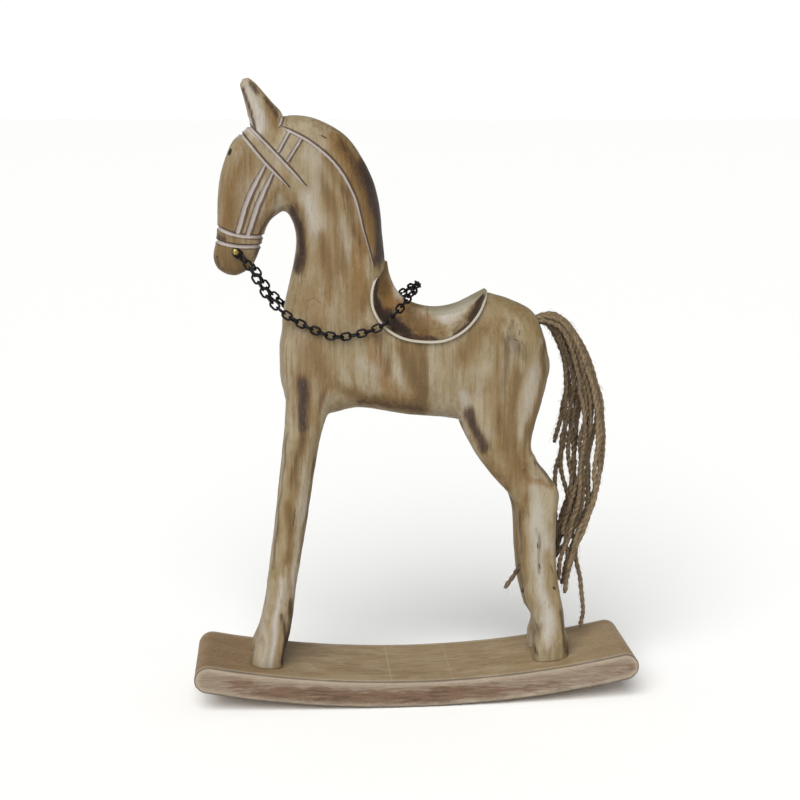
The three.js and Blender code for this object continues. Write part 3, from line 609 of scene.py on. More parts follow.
# Stains, burns, rubbed paint and small cracks: kind, strength, half width in mm, and the stroke in side view
strokes = [
    ("burn", 0.7, 1.3, [(-26.9, 99.3), (-25.8, 98.0)]),
    ("burn", 0.75, 1.1, [(-24.7, 97.0), (-23.6, 95.3), (-22.7, 93.9)]),
    ("stainAndUndersideShade", 0.6, 2.7, [(-24.3, 95.8), (-23.7, 93.9), (-23.2, 92.9)]),
    ("burn", 0.8, 0.8, [(-28.2, 98.3), (-27.3, 95.5), (-26.1, 91.7)]),
    ("stainAndUndersideShade", 0.45, 4.0, [(-27.8, 87.6), (-29.6, 85.3), (-30.5, 82.1)]),
    ("stainAndUndersideShade", 0.4, 3.3, [(-31.5, 86.1), (-32.0, 81.3), (-31.8, 77.0)]),
    ("stainAndUndersideShade", 0.5, 2.7, [(-21.6, 84.0), (-23.9, 80.5), (-25.6, 76.9)]),
    ("burn", 0.5, 1.3, [(-23.9, 78.5), (-25.6, 75.2), (-26.2, 72.3)]),
    ("burn", 0.7, 2.0, [(-33.0, 74.5), (-31.5, 74.0)]),
    ("stainAndUndersideShade", 0.6, 3.3, [(-32.2, 72.0), (-31.3, 71.0), (-29.3, 70.4)]),
    ("burn", 0.6, 2.0, [(-33.3, 70.3), (-32.3, 69.3)]),
    ("burn", 0.5, 1.7, [(-26.8, 72.3), (-26.7, 70.3)]),
    ("stainAndUndersideShade", 0.5, 7.0, [(-27.6, 86.0), (-29.2, 80.0), (-30.0, 76.0)]),
    ("stainAndUndersideShade", 0.75, 5.5, [(-32.0, 71.0), (-29.0, 70.2)]),
    ("stainAndUndersideShade", 0.5, 12.0, [(-18.5, 63.0), (-18.5, 52.0)]),
    ("stainAndUndersideShade", 0.35, 9.0, [(-16.0, 72.0), (-13.0, 56.0)]),
    ("stainAndUndersideShade", 0.5, 5.0, [(-10.6, 84.6), (-8.6, 78.0)]),
    ("wash", 0.6, 5.0, [(-17.6, 87.6), (-15.6, 84.0)]),
    ("wash", 0.6, 3.6, [(20.4, 53.0), (20.0, 46.0)]),
    ("stainAndUndersideShade", 0.6, 3.3, [(-21.1, 81.3), (-19.1, 78.5), (-18.8, 73.1), (-19.2, 70.3)]),
    ("stainAndUndersideShade", 0.65, 4.0, [(-15.7, 84.0), (-14.0, 79.6), (-13.2, 74.7), (-12.9, 70.3)]),
    ("stainAndUndersideShade", 0.5, 3.3, [(-16.2, 73.9), (-14.9, 70.3), (-13.9, 66.5)]),
    ("stainAndUndersideShade", 0.65, 3.3, [(-14.4, 86.9), (-12.0, 82.4), (-10.7, 78.0), (-9.3, 72.2)]),
    ("burn", 0.35, 2.0, [(-12.2, 82.9), (-10.9, 78.8), (-9.9, 73.9)]),
    ("stainAndUndersideShade", 0.75, 5.0, [(-11.9, 89.3), (-9.5, 86.1), (-7.9, 81.2), (-6.8, 75.2), (-6.1, 70.9)]),
    ("burn", 0.85, 3.3, [(-8.8, 86.0), (-7.2, 82.0), (-6.2, 77.1), (-5.8, 72.1)]),
    ("burn", 0.5, 2.7, [(-12.7, 90.1), (-10.8, 86.8), (-9.3, 82.8)]),
    ("stainAndUndersideShade", 0.4, 3.3, [(-16.3, 92.9), (-13.5, 91.2)]),
    ("stainAndUndersideShade", 0.5, 4.0, [(-12.1, 70.4), (-11.3, 65.7), (-11.0, 61.1)]),
    ("stainAndUndersideShade", 0.6, 3.3, [(-8.7, 66.5), (-9.4, 63.2), (-8.7, 59.0)]),
    ("burn", 0.9, 3.4, [(-19.6, 50.4), (-19.2, 48.3), (-19.6, 43.2)]),
    ("stainAndUndersideShade", 0.6, 4.6, [(-19.8, 51.0), (-19.0, 47.5), (-19.6, 40.6), (-20.7, 33.7)]),
    ("rust", 0.6, 5.0, [(-7.8, 58.4), (-6.8, 55.0), (-5.5, 52.1)]),
    ("burn", 0.35, 4.0, [(-6.8, 57.9), (-5.8, 54.8), (-5.2, 52.4)]),
    ("stainAndUndersideShade", 0.85, 4.6, [(-2.8, 56.6), (-1.8, 54.1), (-0.8, 51.0)]),
    ("stainAndUndersideShade", 0.55, 3.3, [(0.2, 56.1), (0.8, 52.7), (0.5, 47.3)]),
    ("stainAndUndersideShade", 0.7, 3.2, [(-13.2, 49.4), (-9.0, 47.8), (-4.0, 46.5), (0.9, 45.9)]),
    ("burn", 0.5, 2.0, [(-9.8, 46.9), (-4.8, 45.9), (0.7, 45.3)]),
    ("stainAndUndersideShade", 0.55, 2.0, [(-15.3, 50.1), (-16.5, 47.0), (-16.9, 42.2)]),
    ("burn", 0.3, 2.0, [(-15.5, 49.4), (-16.7, 45.7)]),
    ("stainAndUndersideShade", 0.7, 4.7, [(7.2, 55.3), (8.9, 57.3), (11.2, 59.3)]),
    ("stainAndUndersideShade", 0.55, 4.0, [(13.6, 60.2), (13.1, 55.5), (13.1, 47.0), (13.9, 40.0)]),
    ("burn", 0.3, 3.7, [(15.0, 58.0), (16.4, 56.3), (17.8, 55.0)]),
    ("stainAndUndersideShade", 0.7, 5.3, [(16.5, 51.7), (15.5, 45.1), (15.0, 39.1), (16.4, 34.7)]),
    ("burn", 0.35, 2.7, [(15.0, 55.4), (14.3, 48.6), (13.9, 41.7)]),
    ("stainAndUndersideShade", 0.8, 2.3, [(21.2, 55.2), (21.3, 50.9), (20.3, 46.2), (19.2, 41.4)]),
    ("burn", 0.4, 1.7, [(21.5, 56.0), (21.4, 51.4)]),
    ("stainAndUndersideShade", 0.45, 3.3, [(15.8, 62.4), (18.5, 61.0), (20.6, 58.2)]),
    ("burn", 0.8, 2.7, [(8.6, 44.6), (9.8, 41.8), (11.2, 39.0)]),
    ("stainAndUndersideShade", 0.6, 2.7, [(8.8, 43.5), (10.9, 38.6), (13.3, 34.7), (15.4, 31.7)]),
    ("stainAndUndersideShade", 0.6, 2.0, [(18.8, 42.4), (18.1, 38.4), (18.2, 35.9)]),
    ("stainAndUndersideShade", 0.5, 2.0, [(16.0, 39.9), (17.1, 36.0), (19.2, 33.2)]),
    ("burn", 0.45, 1.3, [(20.2, 36.0), (21.8, 34.2), (23.2, 31.7)]),
    ("stainAndUndersideShade", 0.45, 2.7, [(17.6, 33.2), (18.6, 30.2), (18.3, 26.6)]),
    ("stainAndUndersideShade", 0.55, 2.0, [(17.4, 28.4), (18.4, 22.1), (19.2, 14.8)]),
    ("burn", 0.45, 1.1, [(20.6, 23.8), (21.0, 20.6), (21.3, 16.2)]),
    ("stainAndUndersideShade", 0.45, 2.0, [(23.8, 26.4), (24.1, 21.0), (24.6, 13.7)]),
    ("burn", 0.6, 1.7, [(24.9, 8.7), (25.7, 5.0), (26.3, 1.6)]),
    ("stainAndUndersideShade", 0.5, 2.7, [(21.6, 5.9), (22.5, 1.7)]),
    ("burn", 0.5, 0.8, [(-22.1, 41.9), (-22.7, 35.4), (-23.7, 26.6), (-24.9, 17.8)]),
    ("stainAndUndersideShade", 0.6, 2.7, [(-19.9, 40.6), (-21.0, 33.7), (-21.5, 26.7), (-22.4, 19.6)]),
    ("burn", 0.45, 1.7, [(-19.8, 40.6), (-20.5, 36.8), (-21.0, 33.7)]),
    ("stainAndUndersideShade", 0.55, 2.0, [(-21.3, 27.5), (-21.9, 24.0), (-22.3, 19.6)]),
    ("stainAndUndersideShade", 0.7, 1.7, [(-16.4, 40.4), (-17.8, 33.5), (-19.3, 26.5), (-20.2, 19.5)]),
    ("burn", 0.4, 1.1, [(-16.7, 39.6), (-18.4, 31.8), (-19.6, 24.8)]),
    ("burn", 0.6, 1.7, [(-21.9, 12.3), (-21.9, 6.9), (-22.5, 4.2)]),
    ("stainAndUndersideShade", 0.45, 2.0, [(-27.0, 5.2), (-27.0, 2.5)]),
    ("wash", 0.5, 4.7, [(-27.9, 82.9), (-29.1, 79.7)]),
    ("wash", 0.5, 3.3, [(-25.4, 88.5), (-23.2, 86.1)]),
    ("wash", 0.9, 5.3, [(-18.0, 80.8), (-17.4, 78.0), (-16.5, 74.8)]),
    ("wash", 0.4, 5.0, [(-18.2, 69.1), (-18.6, 64.1), (-19.2, 59.1)]),
    ("wash", 0.5, 3.3, [(-12.2, 76.4), (-11.6, 71.5)]),
    ("wash", 0.4, 8.0, [(-19.7, 57.6), (-16.8, 54.2)]),
    ("wash", 0.5, 4.4, [(-9.5, 54.2), (-5.7, 51.4), (-2.2, 50.6)]),
    ("wash", 0.25, 3.4, [(2.0, 56.6), (2.2, 51.5), (2.6, 46.4)]),
    ("wash", 0.25, 5.3, [(5.2, 55.7), (5.6, 49.7)]),
    ("wash", 0.8, 2.7, [(7.5, 47.4), (8.0, 46.4)]),
    ("wash", 0.4, 5.3, [(10.0, 52.1), (10.4, 46.9), (12.2, 41.7)]),
    ("wash", 0.7, 2.7, [(19.0, 51.8), (18.4, 45.7), (17.8, 41.4)]),
    ("wash", 0.5, 2.7, [(-18.2, 42.3), (-19.5, 33.6), (-20.5, 26.6)]),
    ("wash", 1.0, 2.2, [(-23.2, 16.0), (-24.0, 9.5), (-24.9, 4.6), (-25.3, 1.2)]),
    ("wash", 0.7, 3.3, [(20.1, 31.9), (21.0, 27.5), (22.0, 21.2)]),
    ("wash", 0.6, 2.7, [(22.3, 11.1), (22.0, 7.4)]),
    ("burn", 0.9, 2.6, [(-20.6, 78.6), (-19.3, 75.0), (-19.3, 71.8), (-20.1, 69.0)]),
    ("wash", 0.6, 3.0, [(-13.1, 77.5), (-12.6, 73.9), (-12.1, 70.4), (-13.5, 67.4)]),
    ("stainAndUndersideShade", 0.5, 2.6, [(-15.1, 82.6), (-14.6, 80.8), (-14.5, 79.1)]),
    ("stainAndUndersideShade", 0.6, 2.4, [(-15.6, 73.4), (-15.2, 70.7), (-14.6, 68.2)]),
    ("rust", 0.5, 1.6, [(-14.4, 86.1), (-15.5, 87.2)]),
    ("rust", 0.7, 3.6, [(-9.6, 76.1), (-9.3, 72.3), (-9.4, 67.6), (-9.1, 64.5)]),
    ("rust", 0.8, 3.2, [(-12.9, 89.3), (-11.5, 86.9), (-10.0, 83.7)]),
    ("rust", 0.6, 2.4, [(-7.8, 82.5), (-7.6, 79.8), (-7.6, 76.5), (-7.9, 74.4)]),
    ("wash", 0.5, 1.6, [(-9.5, 84.5), (-8.7, 81.8), (-8.1, 78.2), (-7.6, 74.9)]),
    ("wash", 0.4, 2.4, [(-10.5, 88.7), (-9.2, 85.5)]),
    ("burn", 0.8, 3.0, [(-7.8, 82.8), (-6.4, 78.1), (-6.1, 74.2), (-6.4, 70.6)]),
    ("rust", 0.7, 1.6, [(-23.4, 94.6), (-22.9, 93.4), (-22.9, 92.6)]),
    ("wash", 1.8, 2.6, [(-29.0, 91.4), (-27.6, 92.4), (-26.0, 92.0)]),
    ("rust", 0.5, 2.0, [(-17.4, 36.2), (-18.2, 31.6)]),
    ("rust", 0.6, 1.4, [(-21.8, 20.2), (-21.9, 15.1), (-22.2, 9.6)]),
    ("stainAndUndersideShade", 0.5, 0.8, [(-22.6, 21.0), (-23.5, 12.0)]),
    ("burn", 0.8, 0.9, [(-21.8, 7.6), (-22.0, 5.2), (-23.3, 0.9)]),
    ("stainAndUndersideShade", 0.6, 1.8, [(-22.3, 29.2), (-22.0, 24.9)]),
    ("burn", 0.7, 0.9, [(-23.2, 9.5), (-22.6, 5.0), (-23.2, 1.2)]),
    ("burn", 0.5, 1.0, [(-28.6, 3.4), (-29.0, 1.0)]),
    ("burn", 0.6, 0.9, [(20.4, 4.6), (20.9, 1.0)]),
    ("burn", 0.5, 0.8, [(17.6, 27.0), (18.2, 20.0), (18.6, 13.0)]),
    ("rust", 0.6, 1.4, [(18.0, 34.6), (19.4, 32.9), (21.6, 32.3), (23.3, 31.3)]),
    ("wash", 0.9, 3.4, [(20.2, 27.3), (20.6, 20.4), (22.1, 12.1), (23.5, 5.3)]),
    ("rust", 0.4, 5.0, [(11.0, 50.0), (12.0, 44.0)]),
    ("rust", 0.5, 4.0, [(-6.0, 50.0), (-3.0, 48.5), (0.5, 48.0)]),
    ("burn", 0.2, 3.0, [(16.0, 59.5), (16.6, 57.5), (17.0, 55.5)]),
    ("wash", 0.5, 2.0, [(14.8, 58.8), (16.2, 55.8)]),
    ("stainAndUndersideShade", 0.2, 13.0, [(-27.0, 87.0), (-30.0, 76.0)]),
    ("rust", 0.5, 3.0, [(-23.3, 85.0), (-24.8, 79.5), (-26.4, 75.0)]),
    ("rust", 0.8, 4.0, [(-13.5, 90.0), (-10.5, 86.0), (-8.3, 80.0), (-7.0, 74.0)]),
    ("wash", 1.0, 4.6, [(-27.4, 98.0), (-25.2, 93.0)]),
    ("rust", 0.7, 2.2, [(-15.3, 71.5), (-15.0, 68.0), (-14.4, 64.0)]),
    ("rust", 0.6, 2.2, [(-10.9, 72.0), (-10.6, 66.0), (-10.2, 61.0)]),
    ("wash", 0.8, 3.0, [(-26.8, 6.8), (-27.0, 2.0)]),
    ("wash", 0.8, 3.6, [(22.6, 7.0), (22.9, 3.4)]),
    ("stainAndUndersideShade", 0.5, 3.2, [(-13.0, 90.3), (-10.2, 86.3), (-8.3, 80.5), (-7.4, 75.0)]),
    ("stainAndUndersideShade", 0.15, 9.0, [(5.0, 57.0), (6.0, 48.0)]),
    ("stainAndUndersideShade", 0.5, 5.0, [(-17.5, 56.5), (-15.0, 51.5)]),
    ("wash", 0.7, 2.0, [(-18.9, 30.0), (-20.4, 22.0), (-21.6, 14.0)]),
    ("rust", 0.7, 1.6, [(-28.9, 86.9), (-29.6, 84.6), (-30.2, 82.4)]),
    ("rust", 0.8, 2.6, [(-31.2, 80.4), (-31.6, 77.6)]),
    ("stainAndUndersideShade", 0.5, 2.4, [(-30.6, 79.8), (-31.2, 76.8)]),
    ("stainAndUndersideShade", 0.7, 1.8, [(-33.5, 82.0), (-33.9, 77.4)]),
    ("wash", 0.6, 2.4, [(-33.0, 86.5), (-33.2, 82.6)]),
    ("stainAndUndersideShade", 0.6, 2.2, [(17.2, 51.0), (16.2, 45.0), (16.6, 39.8)]),
    ("rust", 0.5, 1.8, [(20.0, 47.0), (19.2, 42.0), (19.4, 37.8)]),
    ("stainAndUndersideShade", 0.5, 1.4, [(18.6, 30.0), (18.0, 26.0), (17.9, 22.0)]),
]
saddleStrokes = [
    ("burn", 0.9, 1.4, [(-5.1, 70.6), (-6.6, 67.5), (-7.1, 65.0), (-6.7, 63.0)]),
    ("burn", 1.0, 2.2, [(-6.7, 63.3), (-5.8, 61.2), (-4.2, 59.4)]),
    ("burn", 1.0, 3.4, [(-4.8, 61.0), (-3.4, 59.6), (-1.8, 58.5)]),
    ("burn", 0.7, 1.4, [(-1.8, 57.9), (1.0, 57.5), (3.6, 57.7)]),
    # Dark line along the cantle's rim: painted shadow under the rim, laid as a burn stroke.
    ("burn", 0.9, 1.6, [(6.2, 58.5), (8.4, 59.9), (10.1, 62.0), (11.1, 64.2)]),
    ("stainAndUndersideShade", 0.9, 3.4, [(-5.2, 70.2), (-5.3, 67.4), (-5.6, 65.0)]),
    ("rust", 1.0, 3.8, [(-6.1, 66.5), (-5.2, 64.7), (-5.0, 62.6)]),
    ("rust", 0.9, 5.0, [(-2.9, 62.4), (-1.2, 60.8), (0.2, 59.4)]),
    ("rust", 0.9, 2.4, [(1.2, 60.4), (1.6, 58.0)]),
    ("stainAndUndersideShade", 0.6, 4.5, [(-1.6, 63.0), (-0.6, 60.4), (0.9, 58.2)]),
    # Brown along the cantle's rim: painted shadow under the rim.
    ("stainAndUndersideShade", 0.4, 2.6, [(6.4, 59.2), (8.9, 61.2), (10.4, 64.2)]),
    ("stainAndUndersideShade", 0.6, 3.0, [(2.6, 59.2), (4.2, 58.6)]),
    ("wash", 0.9, 2.8, [(-4.3, 67.8), (-3.6, 65.2), (-2.9, 63.6)]),
    ("wash", 0.9, 4.6, [(4.5, 60.3), (7.0, 61.5), (8.8, 63.2)]),
    ("wash", 0.7, 1.6, [(1.3, 62.0), (1.3, 57.4)]),
    ("stainAndUndersideShade", 0.6, 1.2, [(2.9, 63.2), (3.9, 63.0)]),
    ("stainAndUndersideShade", 0.5, 1.4, [(4.6, 62.4), (5.6, 62.3)]),
]
# Small carved marks: height in mm, half width in mm, how dark it is, and its line in side view
smallMarks = [
    (-0.4, 0.5, 1, [(-15.7, 90.8), (-14.9, 90.4)]),
    (-0.3, 0.3, 0.7, [(-12.4, 82.6), (-12.2, 80.5), (-12.0, 78.8)]),
    (-0.3, 0.32, 0.8, [(-20.9, 28.7), (-21.3, 25.6)]),
    (-0.3, 0.3, 0.6, [(-19.6, 37.4), (-19.8, 34.6)]),
    (-0.4, 0.45, 1, [(20.8, 21.4), (20.9, 20.5)]),
    (-0.4, 0.45, 1, [(21.2, 17.6), (21.4, 16.8)]),
    (-0.3, 0.35, 0.8, [(23.3, 17.3), (23.8, 15.6)]),
    (-0.5, 1.1, 1, [(23.9, 13.1), (24.1, 12.9)]),
    (-0.3, 0.4, 0.8, [(17.2, 58.6), (16.9, 57.9)]),
    (-0.3, 0.4, 0.8, [(16.2, 57.2), (16.7, 57.0)]),
    (-0.3, 0.4, 0.6, [(17.5, 57.0), (17.7, 56.2)]),
    (-0.3, 0.35, 0.5, [(-18.5, 63.8), (-17.4, 64.4), (-16.2, 63.5)]),
    (-0.6, 1.6, 0.15, [(18.0, 34.6), (19.4, 32.9), (21.6, 32.3), (23.3, 31.3)]),
    (1.0, 2.4, 0, [(20.0, 36.4), (18.8, 35.6), (17.7, 34.6), (17.1, 32.5), (17.1, 30.2)]),
    (1.1, 2.0, 0, [(18.2, 31.8), (19.0, 28.6), (19.9, 23.7), (19.4, 18.8), (20.0, 12.1), (21.0, 6.7), (21.6, 1.5)]),
    (0.9, 2.0, 0, [(23.6, 29.6), (23.4, 22.0), (24.2, 15.0), (25.0, 9.0), (25.6, 3.0)]),
    (1.1, 2.0, 0, [(-18.2, 41.5), (-19.6, 32.5), (-21.2, 24.2), (-22.4, 18.0), (-23.4, 13.4), (-25.4, 6.3), (-26.8, 0.5)]),
    (0.9, 1.8, 0, [(-22.8, 15.5), (-22.9, 8.9), (-23.9, 0.4)]),
]
glueSeam = {"x": 1.7, "lean": 0.03}   # where two blocks of the body meet, in the horse's units
shade = {"reach": 1.25, "alongGrain": 0.62, "wander": 2.2}


# Side view of points, with the far side painted a little differently
def sideView(points):
    return points[:, [0, 2]] + np.where(points[:, 1:2] > 0, (2.5, -3.5), (0, 0))


# Height of the small marks at the points, how dark they are there, and the distance from the nearest fine one
def markRelief(points):
    height, dark, away = np.zeros(len(points)), np.zeros(len(points)), np.full(len(points), 9.0)
    flat = sideView(points)
    for rise, half, tone, route in smallMarks:
        line = throughPoints([place(x, z)[[0, 2]] for x, z in route], 2)
        near = np.nonzero(((flat > line.min(0) - 8) & (flat < line.max(0) + 8)).all(1))[0]
        far = distanceTo(flat[near], line)[0]
        height[near] += rise * (np.exp(-far / half) if rise > 0 else np.clip(1 - (far / half) ** 2, 0, 1))
        dark[near] = np.maximum(dark[near], tone * (1 - smoothStep(far / half, 0.5, 1.1)))
        if rise < 0:
            away[near] = np.minimum(away[near], far)
    return height, dark, away


# Strength of each kind of stroke at the points. Strokes run out slowly along the grain.
def paintFields(points, given, squeeze):
    fields = {kind: np.zeros(len(points)) for kind in ("stainAndUndersideShade", "burn", "wash", "rust")}
    flat = sideView(points)
    for i, p in enumerate(points):
        v = Vector(p) / 17
        flat[i, 0] += shade["wander"] * noise.noise(v)
        flat[i, 1] += shade["wander"] * 1.5 * noise.noise(v + Vector((0, 7, 3)))
    squeeze = np.array([1, squeeze])
    for kind, strength, half, route in given:
        line = np.array([place(x, z)[[0, 2]] for x, z in route])
        low, high = line.min(0) - half * 5, line.max(0) + half * 5
        near = np.nonzero(((flat > low) & (flat < high)).all(1))[0]
        if len(near):
            away = distanceTo(flat[near] * squeeze, line * squeeze)[0] / (half * shade["reach"])
            soft = strength * np.exp(-away ** 2)
            fields[kind][near] = 1 - (1 - fields[kind][near]) * (1 - np.minimum(soft, 1))
    return fields


for reach in (2.5, 1.7):
    points, normals = getPoints(horse.data), getNormals(horse.data)
    away = np.minimum(lineDistances(points, normals), markRelief(points)[2] * 1.2)
    for name in marks:
        away = np.minimum(away, markDistances(points, name) * 1.4)
    splitNear(horse.data, away, reach)
print("lines refined:", len(horse.data.vertices), "points")

points, normals = getPoints(horse.data), getNormals(horse.data)
away = lineDistances(points, normals)
half = carving["grooveHalf"]
depth = carving["grooveDepth"] * (1 - np.clip(away / half, 0, 1) ** 2.5)
depth -= 0.15 * np.exp(-((away - half - 0.3) / 0.3) ** 2)
for name, mark in (("eye", eye), ("nostril", nostril)):
    depth += mark["depth"] * np.clip(1 - markDistances(points, name) ** 2, 0, 1)
depth -= markRelief(points)[0]
for i, p in enumerate(points):
    v = Vector(p)
    depth[i] += carving["handMarks"] * (noise.noise(v / 13) + 0.5 * noise.noise(v / 6))
setPoints(horse.data, points - normals * depth[:, None])

# Saddle sections from the tip of the pommel under the flaps to the tip of the cantle:
# [rimX, rimZ, seatX, seatZ, half width at the rim, half width of the seat, crown of the seat]
saddle = {
    "rimHeight": 1.7,
    "rimWidth": 1.25,
    "rimDrop": 0.55,
    "room": 6.2,
    "bite": 0.35,
    "stations": [
        [-5.3, 70.1, -4.8, 69.9, 0.9, 0.5, 0.05], [-6.9, 68.0, -4.4, 67.8, 3.4, 0.7, 0.1],
        [-7.9, 65.3, -3.5, 65.6, 4.9, 0.9, 0.15], [-7.7, 62.5, -2.3, 64.1, 5.7, 1.2, 0.3],
        [-6.1, 59.8, -0.8, 63.1, 6.3, 1.5, 0.5], [-3.2, 57.8, 0.9, 62.5, 6.65, 1.9, 0.8],
        [0.6, 57.0, 2.8, 62.2, 6.75, 2.2, 1.1], [4.5, 57.2, 4.8, 62.3, 6.75, 2.3, 1.3],
        [7.8, 58.9, 6.9, 62.8, 6.55, 2.4, 1.3], [10.2, 61.5, 8.9, 63.7, 5.9, 2.3, 1.0],
        [11.5, 63.8, 10.7, 64.6, 4.2, 1.8, 0.5], [12.0, 65.0, 11.8, 65.2, 1.6, 0.8, 0.08]],
}


# Half of a section's outline as [height over the rim, half width], and each point's distance from the rim's foot
def flapLine(row, sink=0.0):
    reach = math.hypot(row[2] - row[0], row[3] - row[1]) * unit
    rimHalf, seatHalf, crown = row[4] * unit, row[5] * unit, row[6] * unit
    small = min(1.0, reach / 6, rimHalf / 4)
    front = smoothStep(-row[0], 3, 7.5)
    face, lip = saddle["rimHeight"] * small, saddle["rimWidth"] * small * (0.75 + 0.6 * front)
    drop = saddle["rimDrop"] * small
    ridge = reach - crown
    line = [(0, rimHalf), (face * 0.35, rimHalf), (face * 0.7, rimHalf)]
    for a in (0.4, 0.8, 1.2):
        line.append((face - face * 0.3 * (1 - math.sin(a)), rimHalf - face * 0.3 * (1 - math.cos(a))))
    line.append((face, rimHalf - lip * 0.65))
    line.append((face - drop * 0.2, rimHalf - lip * 0.85))
    foot = (face - drop * 0.2, rimHalf - lip * 1.15 - drop)
    line.append((face - drop * 0.35, rimHalf - lip - drop * 0.6))
    bend = (face + (ridge - face) * 0.28, seatHalf + (foot[1] - seatHalf) * 0.26)
    for k in range(0, 17):
        t = k / 16
        line.append(tuple((1 - t) ** 2 * foot[i] + 2 * t * (1 - t) * bend[i] + t * t * (ridge, seatHalf)[i]
                          for i in (0, 1)))
    for a in (0.25, 0.5, 0.8, 1.1, 1.35):
        line.append((ridge + crown * math.sin(a), seatHalf * math.cos(a)))
    line.append((reach, 0.0))
    if sink:
        line = [(h - sink, max(w - sink, 0.0)) for h, w in line[5:]]
        line.insert(0, (reach + saddle["room"], line[0][1]))
    return line


def overSaddle(sink=0.0):
    rings, runs, shares = [], [], []
    for row in throughPoints(saddle["stations"], 1.1 / unit):
        reach = math.hypot(row[2] - row[0], row[3] - row[1]) * unit
        rimPoint, seatPoint = place(row[0], row[1]), place(row[2], row[3])
        up = (seatPoint - rimPoint) / reach
        half = flapLine(row, sink)
        ring = [rimPoint + up * h + np.array([0, w, 0]) for h, w in half]
        ring += [rimPoint + up * h - np.array([0, w, 0]) for h, w in half[:-1][::-1]]
        rings.append(ring)
        steps = [0.0] + [math.dist(p, q) for p, q in zip(half, half[1:])]
        run = np.cumsum(steps)
        run -= run[8]
        share = np.arange(len(half)) / (len(half) - 6)
        runs.append(list(run) + list(run[:-1][::-1]))
        shares.append(list(share) + list(share[:-1][::-1]))
    return skin(rings), np.array(runs).ravel(), np.array(shares).ravel()


def soleCutter():
    xs = np.linspace(-148, 148, 120)
    top = [(x, float(boardTop(x)) + 0.3) for x in xs]
    outline = top + [(148, -40), (-148, -40)]
    return skin([[(x, y, z) for x, z in outline] for y in (-60, 60)])


def holeCutter():
    turn = 2 * np.pi * np.arange(36) / 36
    rings = []
    for ahead, radius in ((-tail["holeDepth"], 6.2), (-0.6, 6.6), (0.3, 6.7), (14, 7.4)):
        centre = tailMouth + tailOut * ahead
        rings.append([centre + radius * (math.cos(t) * tailUp + math.sin(t) * np.array([0, 1.0, 0])) for t in turn])
    return skin(rings)


seatSolid, seatRun, seatShare = overSaddle()
combine(horse, overSaddle(saddle["bite"])[0], "DIFFERENCE")
combine(horse, seatSolid, "UNION")
combine(horse, soleCutter(), "DIFFERENCE")
combine(horse, holeCutter(), "DIFFERENCE")
print("horse carved:", len(horse.data.vertices), "points,", len(horse.data.polygons), "faces")

points, normals = getPoints(horse.data), getNormals(horse.data)
seatTree = KDTree(len(seatRun))
for i, p in enumerate(seatSolid[0][:len(seatRun)]):
    seatTree.insert(p, i)
seatTree.balance()
rimAway, seatStrip = np.full(len(points), 99.0), np.zeros(len(points))
boxLow, boxHigh = seatSolid[0].min(0) - 1, seatSolid[0].max(0) + 1
for i in np.nonzero(((points > boxLow) & (points < boxHigh)).all(1))[0]:
    _, k, far = seatTree.find(points[i])
    if far < 0.3:
        rimAway[i], seatStrip[i] = seatRun[k], seatShare[k]
onSaddle = rimAway < 90
body, seat = paintFields(points, strokes, shade["alongGrain"]), paintFields(points, saddleStrokes, 1)
fields = {kind: np.where(onSaddle, seat[kind], body[kind]) for kind in body}
seamX = (glueSeam["x"] + glueSeam["lean"] * ((points[:, 2] - standHeight) / unit - 55)) * unit
seam = np.where(points[:, 2] < standHeight + 43 * unit, 99.0, points[:, 0] - seamX)
fields["seamAway"] = np.abs(seam)
fields["wash"] += 0.1 * np.exp(-np.abs(seam) / 20) * (seam > 0) + 0.3 * np.exp(-np.abs(seam + 6) / 5) * (seam < 0)
fields["stainAndUndersideShade"] += 0.5 * np.exp(-np.abs(seam) / 12) * (seam < 0)
# Painted shade: faces that look downwards, off the saddle, are darkened through the same field as the brown stains.
fields["stainAndUndersideShade"] += 0.4 * smoothStep(-normals[:, 2], 0.25, 0.9) * ~onSaddle
fields["rimAway"] = rimAway
fields["seatStrip"] = np.where(points[:, 0] > seamX, seatStrip, 0)
# White paint in the carved lines, its middle shifted toward the lit side as a painted highlight, and painted shade
# along the lines' other side.
fields["linePaintAndHighlightAway"] = lineDistances(points + (0.3, 0, 0.1), normals)
fields["lineShade"] = lineDistances(points - (0.45, 0, 0), normals)
fields["nick"] = markRelief(points)[1]
fields["eyeShape"] = markDistances(points, "eye")
fields["nostrilShape"] = markDistances(points, "nostril")
for name, values in fields.items():
    setField(horse.data, name, values)
horseTree = treeOf(horse.data)
print("horse painted")

# ---- rocker board, sawn to a curve, with rounded ends and lightly eased edges


